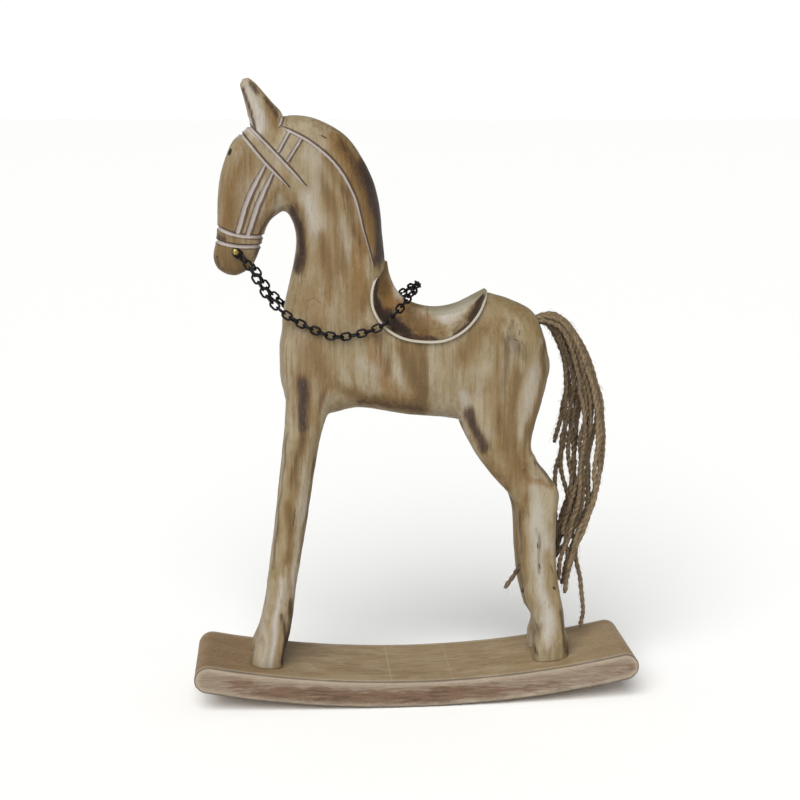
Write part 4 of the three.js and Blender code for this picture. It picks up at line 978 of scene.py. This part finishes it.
def boardMesh():
    radius, thick, half = board["radius"], board["thickness"], board["width"] / 2
    middle = radius - thick / 2
    angle = math.asin((board["length"] - thick) / 2 / middle)
    outline, normals = [], []
    for a in np.linspace(-angle, angle, 240, endpoint=False):
        outline.append((radius * math.sin(a), radius - radius * math.cos(a)))
        normals.append((math.sin(a), -math.cos(a)))
    for a in np.linspace(0, math.pi, 28, endpoint=False):
        t = angle - math.pi / 2 + a
        outline.append((middle * math.sin(angle) + thick / 2 * math.cos(t),
                        radius - middle * math.cos(angle) + thick / 2 * math.sin(t)))
        normals.append((math.cos(t), math.sin(t)))
    for a in np.linspace(angle, -angle, 240, endpoint=False):
        r = radius - thick
        outline.append((r * math.sin(a), radius - r * math.cos(a)))
        normals.append((-math.sin(a), math.cos(a)))
    for a in np.linspace(0, math.pi, 28, endpoint=False):
        t = math.pi / 2 - angle + a
        outline.append((-middle * math.sin(angle) + thick / 2 * math.cos(t),
                        radius - middle * math.cos(angle) + thick / 2 * math.sin(t)))
        normals.append((math.cos(t), math.sin(t)))
    outline, normals = np.array(outline), np.array(normals)
    edge = board["edge"]
    layers = [(inset, half) for inset in (9.2, 7.5, 5.5, 3.8, 2.6, 1.8, 1.3)]
    layers += [(edge * (1 - math.sin(a)), half - edge * (1 - math.cos(a))) for a in (0, 0.35, 0.75, 1.15, 1.57)]
    layers += [(0, half - s) for s in (1.5, 2.4, 3.6, 5.5, 8, 11, 15, 19, 24, 29)]
    sides = layers + [(inset, -y) for inset, y in layers[::-1]]
    rings, edgeAway, isSide, charred = [], [], [], []
    for inset, y in sides:
        rough = np.array([noise.noise(Vector((p[0] / 5, p[1] / 5, y / 9))) for p in outline])
        coarse = np.array([noise.noise(Vector((p[0] / 23, p[1] / 23, y / 40 + 5))) for p in outline])
        lower = normals[:, 1] < -0.5
        wear = np.where(lower & (abs(y) > half - 6), 0.28 * (1 + rough), 0.06 * (1 + rough)) * (inset < 2)
        shift = inset + wear + 0.1 * (1 + coarse) * (inset < 2)
        flat = outline - normals * shift[:, None]
        rings.append([(x, y, z) for x, z in flat])
        away = max(inset - edge * 0.3, 0) if abs(y) > half - 1e-6 else max(half - abs(y) - edge * 0.3, 0)
        edgeAway.append(np.full(len(outline), away))
        charred.append(np.clip(-normals[:, 1], 0, 1) * math.exp(-away / 1.7) * (abs(y) > half - 2))
        isSide.append(np.full(len(outline), 1.0 if abs(y) > half - edge * 0.4 else 0.0))
    rings = np.array(rings)
    count, rows = len(outline), len(sides)
    faces = []
    for r in range(rows - 1):
        for i in range(count):
            j = (i + 1) % count
            faces.append((r * count + i, r * count + j, (r + 1) * count + j, (r + 1) * count + i))
    for first, flip in ((0, True), ((rows - 1) * count, False)):
        for i in range(count // 2 - 1):
            a, b = 240 + 14 + i, 240 + 14 - 1 - i
            ring = [(a) % count, (a + 1) % count, (b - 1) % count, b % count]
            if flip:
                ring.reverse()
            faces.append(tuple(first + k for k in ring))
    points = rings.reshape(-1, 3)
    if volumeOf(points, faces) < 0:
        faces = [tuple(reversed(f)) for f in faces]
    side = np.concatenate(isSide)
    x, z = points[:, 0], points[:, 2]
    wave = np.array([noise.noise(Vector((px / 40, 3.3, pz / 9))) for px, _, pz in points])
    fields = {"edgeAway": np.concatenate(edgeAway), "isSide": side}
    fields["streaked"] = side * (0.45 + 0.55 * smoothStep(x + 60 * wave, 110, 10)) * smoothStep(x, -165, -95) * smoothStep(z + 5 * wave, boardTop(x) - 2, boardTop(x) - 10)
    fields["charred"] = np.concatenate(charred)
    fields["darkEnd"] = (1 - side) * smoothStep(x, -60, -140) + 0.5 * (1 - side) * smoothStep(x, 70, 150)
    fields["jointAway"] = np.where(side > 0.5, 99, np.minimum(abs(x + 19 - wave), abs(x - 23 - wave)))
    return points, faces, fields


points, faces, fields = boardMesh()
rocker = makePiece("rocker_board", points, faces)
for name, values in fields.items():
    setField(rocker.data, name, values)
print("board made:", len(points), "points")

# ---- rein: an oval link chain between two brass nails

rein = {
    "linkLength": 7.9, "linkWidth": 6.0, "wire": 1.5, "bite": 0.15,
    "room": 0.7,            # between the chain and the horse's side
    "nail": (-30.0, 72.1),  # in the horse's units
    "nailRoom": 0.8, "headRadius": 2.0, "headHeight": 1.25, "shankRadius": 0.6, "nailDepth": 8,
    # Side view of one half; a third number is the distance from the middle plane
    "route": [[-28.3, 70.4, 4.2], [-27, 68.3, 4.6], [-24.5, 64.3, 5.3], [-21.9, 61.9, 6.0], [-18.5, 59.9],
              [-13.9, 58.3], [-9.7, 58.8, 7.1], [-6.2, 60.1, 7.3], [-3.7, 62.2, 6.5], [-1.8, 64.0, 4.4],
              [-0.4, 65.3, 2.2], [0.4, 66.0, 0]],
}
cheek = sideAt(horseTree, *rein["nail"])


def chainLine():
    away = rein["linkWidth"] / 2 + rein["room"]
    start = cheek + rein["nailRoom"] + rein["wire"] / 2
    near = [place(*rein["nail"], -start), place(-29.4, 71.55, -start)]
    for x, z, *side in rein["route"]:
        near.append(place(x, z, -(side[0] * unit if side else sideAt(horseTree, x, z) + away)))
    far = [p * (1, -1, 1) for p in near[:-1][::-1]]
    return throughPoints(near + far, 0.25)


def linkMesh(centre, along, turn):
    out = np.array([0, 1.0, 0]) - along * along[1]
    out /= np.linalg.norm(out)
    side = np.cross(along, out)
    across = side * math.cos(turn) + np.cross(along, side) * math.sin(turn)
    flat = np.cross(along, across)
    wire = rein["wire"] / 2
    bend = (rein["linkWidth"] - rein["wire"]) / 2
    straight = (rein["linkLength"] - rein["wire"]) / 2 - bend
    rings = []
    for k in range(22):
        t = 2 * math.pi * (k + 0.5) / 22
        u = bend * math.cos(t) + math.copysign(straight, math.cos(t))
        v = bend * math.sin(t)
        outward = along * math.cos(t) + across * math.sin(t)
        middle = centre + along * u + across * v
        rings.append([middle + wire * (math.cos(q) * outward + math.sin(q) * flat)
                      for q in np.linspace(0, 2 * math.pi, 9)[:-1]])
    return skin(rings, True)


line = chainLine()
hook = rein["linkLength"] / 2 - rein["wire"] - rein["shankRadius"] - 0.3
tangent = np.gradient(line, axis=0)
tangent /= np.linalg.norm(tangent, axis=1)[:, None]
along = np.concatenate([[0], np.cumsum(np.linalg.norm(np.diff(line, axis=0), axis=1))])
span = along[-1] - 2 * hook
count = 2 * math.floor(span / (rein["linkLength"] - 2 * rein["wire"] + rein["bite"]) / 2)
links = []
for i in range(count + 1):
    k = int(np.searchsorted(along, hook + span * i / count))
    slant = 0 if i in (0, count) else 1.1 * noise.noise(Vector((i * 0.23, 4.4, 0.5))) + chance.uniform(-0.1, 0.1)
    links.append(linkMesh(line[k], tangent[k], math.pi / 2 * (i % 2) + slant))
chain = makePiece("rein_links", *joined(links))
print("chain links made:", len(links))


def nailMesh(side):
    seat = cheek + rein["nailRoom"] + rein["wire"] + 0.3
    profile = [(0.05, cheek - rein["nailDepth"]), (rein["shankRadius"], cheek - rein["nailDepth"] + 1.6),
               (rein["shankRadius"], seat - 0.15), (rein["shankRadius"] + 0.1, seat)]
    for a in np.linspace(0, math.pi / 2, 9)[:-1]:
        profile.append((rein["headRadius"] * math.cos(a) ** 0.8, seat + 0.25 + (rein["headHeight"] - 0.25) * math.sin(a)))
    profile.insert(4, (rein["headRadius"] - 0.12, seat))
    centre = place(*rein["nail"])
    rings = [[centre + (r * math.cos(t), side * y, r * math.sin(t)) for t in np.linspace(0, 2 * math.pi, 29)[:-1]]
             for r, y in profile]
    return skin(rings)


nails = {name: makePiece(name + "_head", *nailMesh(side)) for name, side in (("rein_nail_near", -1), ("rein_nail_far", 1))}

# ---- materials. Each is one colour with layers over it; a layer shows where its field, broken up by a pattern,
# passes from its first limit to its second. Pattern sizes are lengths in mm along X, Y and Z.

carvedWood = {
    # Pale softwood carved by hand, stained and singed in soft streaks along the upright grain, then rubbed with
    # thin white paint. The eye sees beige wood with brown clouds, chalky patches and white lines. Painted shade
    # darkens the undersides, one side of each carved line and, together with singeing, the strip just inside the
    # saddle's rim; the lines' white paint is set toward their lit side as a painted highlight.
    "patterns": {"broad": ((15, 15, 75), 3, 0.55), "streak": ((2.4, 2.4, 60), 5, 0.62), "patch": ((8, 8, 14), 4, 0.6),
                 "cloud": ((24, 24, 34), 4, 0.6), "fine": ((0.6, 0.6, 5), 4, 0.75), "speck": ((1.1, 1.1, 2.2), 3, 0.7)},
    "base": "#90846b",
    # field, pattern, its weight, limits, strength, colour
    "layers": [
        (None, "broad", 1, 0.38, 0.62, 0.85, "#7d6b49"),
        (None, "patch", 1, 0.44, 0.7, 0.5, "#705d3b"),
        (None, "streak", 1, 0.48, 0.7, 0.5, "#6e5732"),
        (None, "cloud", 1, 0.5, 0.74, 0.5, "#9f9788"),
        ("wash", "patch", 0.6, 0.15, 1.0, 0.75, "#a19a8e"),
        ("wash", "streak", 0.7, 0.8, 1.15, 0.6, "#b6b0ac"),
        ("rust", "streak", 0.7, 0.1, 0.9, 0.85, "#734f1f"),
        # The next two layers darken the brown stains and also the painted shade given to downward faces.
        ("stainAndUndersideShade", "streak", 0.8, 0.08, 0.8, 0.8, "#6a5026"),
        ("stainAndUndersideShade", "streak", 0.9, 0.5, 1.1, 0.6, "#4b361a"),
        ("burn", "streak", 0.9, 0.06, 0.7, 0.88, "#432d18"),
        ("burn", "streak", 0.8, 0.4, 0.95, 0.88, "#261914"),
        ("seatStrip", "streak", 0.1, 0.93, 1.0, 0.75, "#7b7762"),
        ("seamAway", "speck", 0.5, 0.9, 0.25, 0.5, "#5a4937"),
        (None, "fine", 1, 0.53, 0.72, 0.55, "#523a22"),
        (None, "fine", -1, -0.44, -0.26, 0.3, "#b2a996"),
        (None, "speck", 1, 0.64, 0.78, 0.5, "#4e3a26"),
        # Dark strip just inside the saddle's rim: partly singeing, partly painted shade in the dip under the rim's lip.
        ("rimAway", "speck", 1.0, 1.8, 0.3, 0.8, "#2a1d17"),
        ("rimAway", "speck", 0.7, 0.35, -0.25, 0.92, "#aba394"),
        # Painted shade beside each carved line, then the lines' white paint, shifted toward the light as a painted
        # highlight.
        ("lineShade", "speck", 0.8, 1.9, 1.2, 0.85, "#3d2a1d"),
        ("linePaintAndHighlightAway", "streak", 0.9, 1.05, 0.6, 0.9, "#a39a93"),
        ("nick", "speck", 0.3, 0.1, 0.9, 0.9, "#2c201a"),
        ("nostrilShape", "speck", 0.2, 1.2, 0.8, 0.85, "#33261f"),
        ("eyeShape", "speck", 0.1, 1.05, 0.9, 1.0, "#08080a"),
    ],
    "bumps": {"fine": 0.45, "streak": 0.5, "speck": 0.3}, "bump": 0.3,
    "rough": ("patch", 0.42, 0.6), "shader": {"Specular IOR Level": 0.35},
}
boardWood = {
    # Softwood board glued up of three lengths and sawn to its curve, stained and rubbed, its edges singed.
    # The eye sees grain along the board, faint pale joints, brown streaks on the side and a dark thread at the edges.
    "patterns": {"broad": ((75, 13, 10), 3, 0.55), "streak": ((60, 2.2, 2.2), 5, 0.62), "patch": ((16, 8, 8), 4, 0.6),
                 "fine": ((14, 0.6, 0.6), 4, 0.7), "speck": ((2.4, 1.2, 1.2), 3, 0.7),
                 "dash": ((13, 2.5, 1.7), 4, 0.62)},
    "base": "#94805f",
    "layers": [
        (None, "broad", 1, 0.36, 0.66, 0.7, "#7f6848"),
        (None, "patch", 1, 0.46, 0.66, 0.45, "#a3927a"),
        ("isSide", "patch", 0.2, 0.35, 0.65, 0.92, "#7c6e60"),
        (None, "streak", 1, 0.48, 0.74, 0.5, "#6b5235"),
        ("darkEnd", "patch", 0.8, 0.1, 1.1, 0.6, "#6a4b2a"),
        (None, "fine", 1, 0.5, 0.7, 0.4, "#aa9c85"),
        ("streaked", "dash", 2.2, 0.36, 0.85, 0.85, "#634b37"),
        ("streaked", "dash", 2.2, 0.9, 1.4, 0.75, "#412e20"),
        ("charred", "dash", 1.2, 0.18, 0.6, 0.9, "#33251c"),
        (None, "fine", -1, -0.46, -0.3, 0.5, "#523c28"),
        ("jointAway", "patch", 1.0, 0.9, 0.3, 0.35, "#a99c86"),
        ("edgeAway", "speck", 4.0, 5.0, 1.0, 0.4, "#b0a48f"),
        ("edgeAway", "patch", 1.2, 0.9, 0.1, 0.7, "#33261f"),
    ],
    "bumps": {"fine": 0.5, "streak": 0.6}, "bump": 0.35,
    "rough": ("patch", 0.5, 0.66), "shader": {"Specular IOR Level": 0.3},
}
juteTwine = {
    # Jute fibres spun into plies and laid up as twine, dry and undyed. The eye sees a dull brown thread with
    # lighter fibres along the twist. Painted shade darkens the grooves between the plies, and the strands that
    # lie behind others are darker partly by their own tone and partly by painted shade. Fibres are drawn wider than
    # real.
    "patterns": {"fibre": ((3, 0.4, 0.03), 4, 0.7), "blot": ((14, 9, 0.03), 3, 0.6), "fuzz": ((1.3, 1.1, 0.03), 3, 0.7)},
    "fields": ("along", "around", "tone"),
    "base": "#4d3e2d",
    "layers": [
        # Lighter where a strand's tone is high: partly the jute's own colour, partly painted shade on the strands
        # behind.
        ("tone", "fibre", 1.6, 0.2, 1.1, 1.0, "#8c785d"),
        (None, "blot", 1, 0.42, 0.72, 0.5, "#3d3025"),
        (None, "fibre", 1, 0.56, 0.72, 0.55, "#ab9c82"),
        (None, "fuzz", 1, 0.55, 0.68, 0.5, "#b3a58c"),
        (None, "fuzz", -1, -0.46, -0.34, 0.6, "#33281e"),
        # Painted shade in the grooves between the plies.
        ("plyShadeMask", "fibre", 0.9, 0.5, -0.1, 0.65, "#2b2119"),
    ],
    "bumps": {"fibre": 1, "fuzz": 0.7}, "bump": 0.9, "rough": ("blot", 0.85, 0.95), "shader": {"Specular IOR Level": 0.2},
}
blackenedSteel = {
    # Mild steel wire bent to links and oil-blackened. The eye sees near black, dull bronze where it rubs.
    "patterns": {"rub": ((1.6, 1.6, 1.6), 3, 0.6)}, "base": "#17171a",
    "layers": [(None, "rub", 1, 0.48, 0.75, 0.8, "#3d342c")],
    "bumps": {"rub": 1}, "bump": 0.1, "rough": ("rub", 0.34, 0.55), "shader": {"Metallic": 0.85},
}
dulledBrass = {
    # Turned brass nail heads, dulled by handling. The eye sees olive yellow with darker tarnish.
    "patterns": {"rub": ((1.2, 1.2, 1.2), 3, 0.6)}, "base": "#a8945a",
    "layers": [(None, "rub", 1, 0.45, 0.7, 0.85, "#5c4f2c")],
    "bumps": {"rub": 1}, "bump": 0.1, "rough": ("rub", 0.25, 0.45), "shader": {"Metallic": 1.0},
}


def newMaterial(name, look):
    material = bpy.data.materials.new(name)
    material.use_nodes = True
    tree = material.node_tree
    tree.nodes.clear()
    if "fields" in look:
        parts = {i: addNode(tree, "Attribute", {"attribute_name": n}, {}, 2) for i, n in enumerate(look["fields"])}
        spot, scale = addNode(tree, "CombineXYZ", {}, parts), 1
    else:
        spot, scale = addNode(tree, "TexCoord", {}, {}, 3), 1000
    pattern = {}
    for key, (size, detail, rough) in look["patterns"].items():
        stretched = addNode(tree, "VectorMath", {"operation": "MULTIPLY"}, {0: spot, 1: [scale / s for s in size]})
        pattern[key] = addNode(tree, "TexNoise", {}, {0: stretched, "Scale": 1, "Detail": detail, "Roughness": rough})
    colour = linear(look["base"])
    for field, key, weight, low, high, strength, tint in look["layers"]:
        value = addNode(tree, "Attribute", {"attribute_name": field}, {}, 2) if field else weight / 2
        value = addNode(tree, "Math", {"operation": "MULTIPLY_ADD"}, {0: pattern[key], 1: weight, 2: value})
        value = addNode(tree, "MapRange", {"interpolation_type": "SMOOTHSTEP"},
                        {0: value, 1: low + weight / 2, 2: high + weight / 2, 3: 0, 4: strength})
        colour = addNode(tree, "Mix", {"data_type": "RGBA"}, {0: value, 6: colour, 7: linear(tint)}, 2)
    height = 0.0
    for key, weight in look["bumps"].items():
        height = addNode(tree, "Math", {"operation": "MULTIPLY_ADD"}, {0: pattern[key], 1: weight, 2: height})
    bump = addNode(tree, "Bump", {}, {"Strength": look["bump"], "Distance": 0.0004, "Height": height})
    key, low, high = look["rough"]
    rough = addNode(tree, "MapRange", {}, {0: pattern[key], 1: 0.3, 2: 0.7, 3: low, 4: high})
    shader = addNode(tree, "BsdfPrincipled", {}, {"Base Color": colour, "Roughness": rough, "Normal": bump, **look["shader"]})
    addNode(tree, "OutputMaterial", {}, {0: shader}, None)
    return material


finishPiece(horse, newMaterial("rubbed softwood", carvedWood), "horse", 38)
finishPiece(rocker, newMaterial("sawn softwood", boardWood), "rocker", 45)
finishPiece(chain, newMaterial("blackened steel", blackenedSteel), "rein_chain", 0)
brass = newMaterial("dulled brass", dulledBrass)
for node, piece in nails.items():
    finishPiece(piece, brass, node, 40)
jute = newMaterial("jute twine", juteTwine)
fibres = makePiece("tail_fibres", *joined(fibreForms))
for name, value in (("plyShadeMask", 1.0), ("along", 0.0), ("around", 0.0), ("tone", 0.9)):
    setField(fibres.data, name, np.full(len(fibres.data.vertices), value))
for piece in [*tailPieces, fibres]:
    finishPiece(piece, jute, "tail", 0)
print("materials made")

# ---- studio: a pale floor under one broad soft light, with white walls low around and a darker ceiling

studio = {
    "floor": "#fbfbf9", "floorReach": 40,
    "wall": 1.02, "ceiling": 0.25, "wallTop": (0.1, 0.28),
    "key": 3.45, "keySpread": 50, "keyFrom": (-0.3, -0.8, 0.85),
}
reach = studio["floorReach"] * 1000
floor = makePiece("floor", [(-reach, -reach, 0), (reach, -reach, 0), (reach, reach, 0), (-reach, reach, 0)], [(0, 1, 2, 3)])
paper = bpy.data.materials.new("matt paper")
paper.use_nodes = True
paper.node_tree.nodes["Principled BSDF"].inputs["Base Color"].default_value = linear(studio["floor"])
paper.node_tree.nodes["Principled BSDF"].inputs["Roughness"].default_value = 0.95
floor.data.materials.append(paper)

world = bpy.data.worlds.new("studio")
world.use_nodes = True
tree = world.node_tree
tree.nodes.clear()
direction = addNode(tree, "SeparateXYZ", {}, {0: addNode(tree, "TexCoord", {}, {}, 0)}, 2)
low, high = studio["wallTop"]
glow = addNode(tree, "MapRange", {"interpolation_type": "SMOOTHSTEP"},
               {0: direction, 1: low, 2: high, 3: studio["wall"], 4: studio["ceiling"]})
addNode(tree, "OutputWorld", {}, {0: addNode(tree, "Background", {}, {0: (1, 1, 1, 1), 1: glow})}, None)
scene.world = world

sun = bpy.data.objects.new("key", bpy.data.lights.new("key", "SUN"))
sun.data.energy, sun.data.angle = studio["key"], math.radians(studio["keySpread"])
sun.rotation_euler = (-Vector(studio["keyFrom"])).to_track_quat("-Z", "Y").to_euler()
scene.collection.objects.link(sun)

print("scene ready")
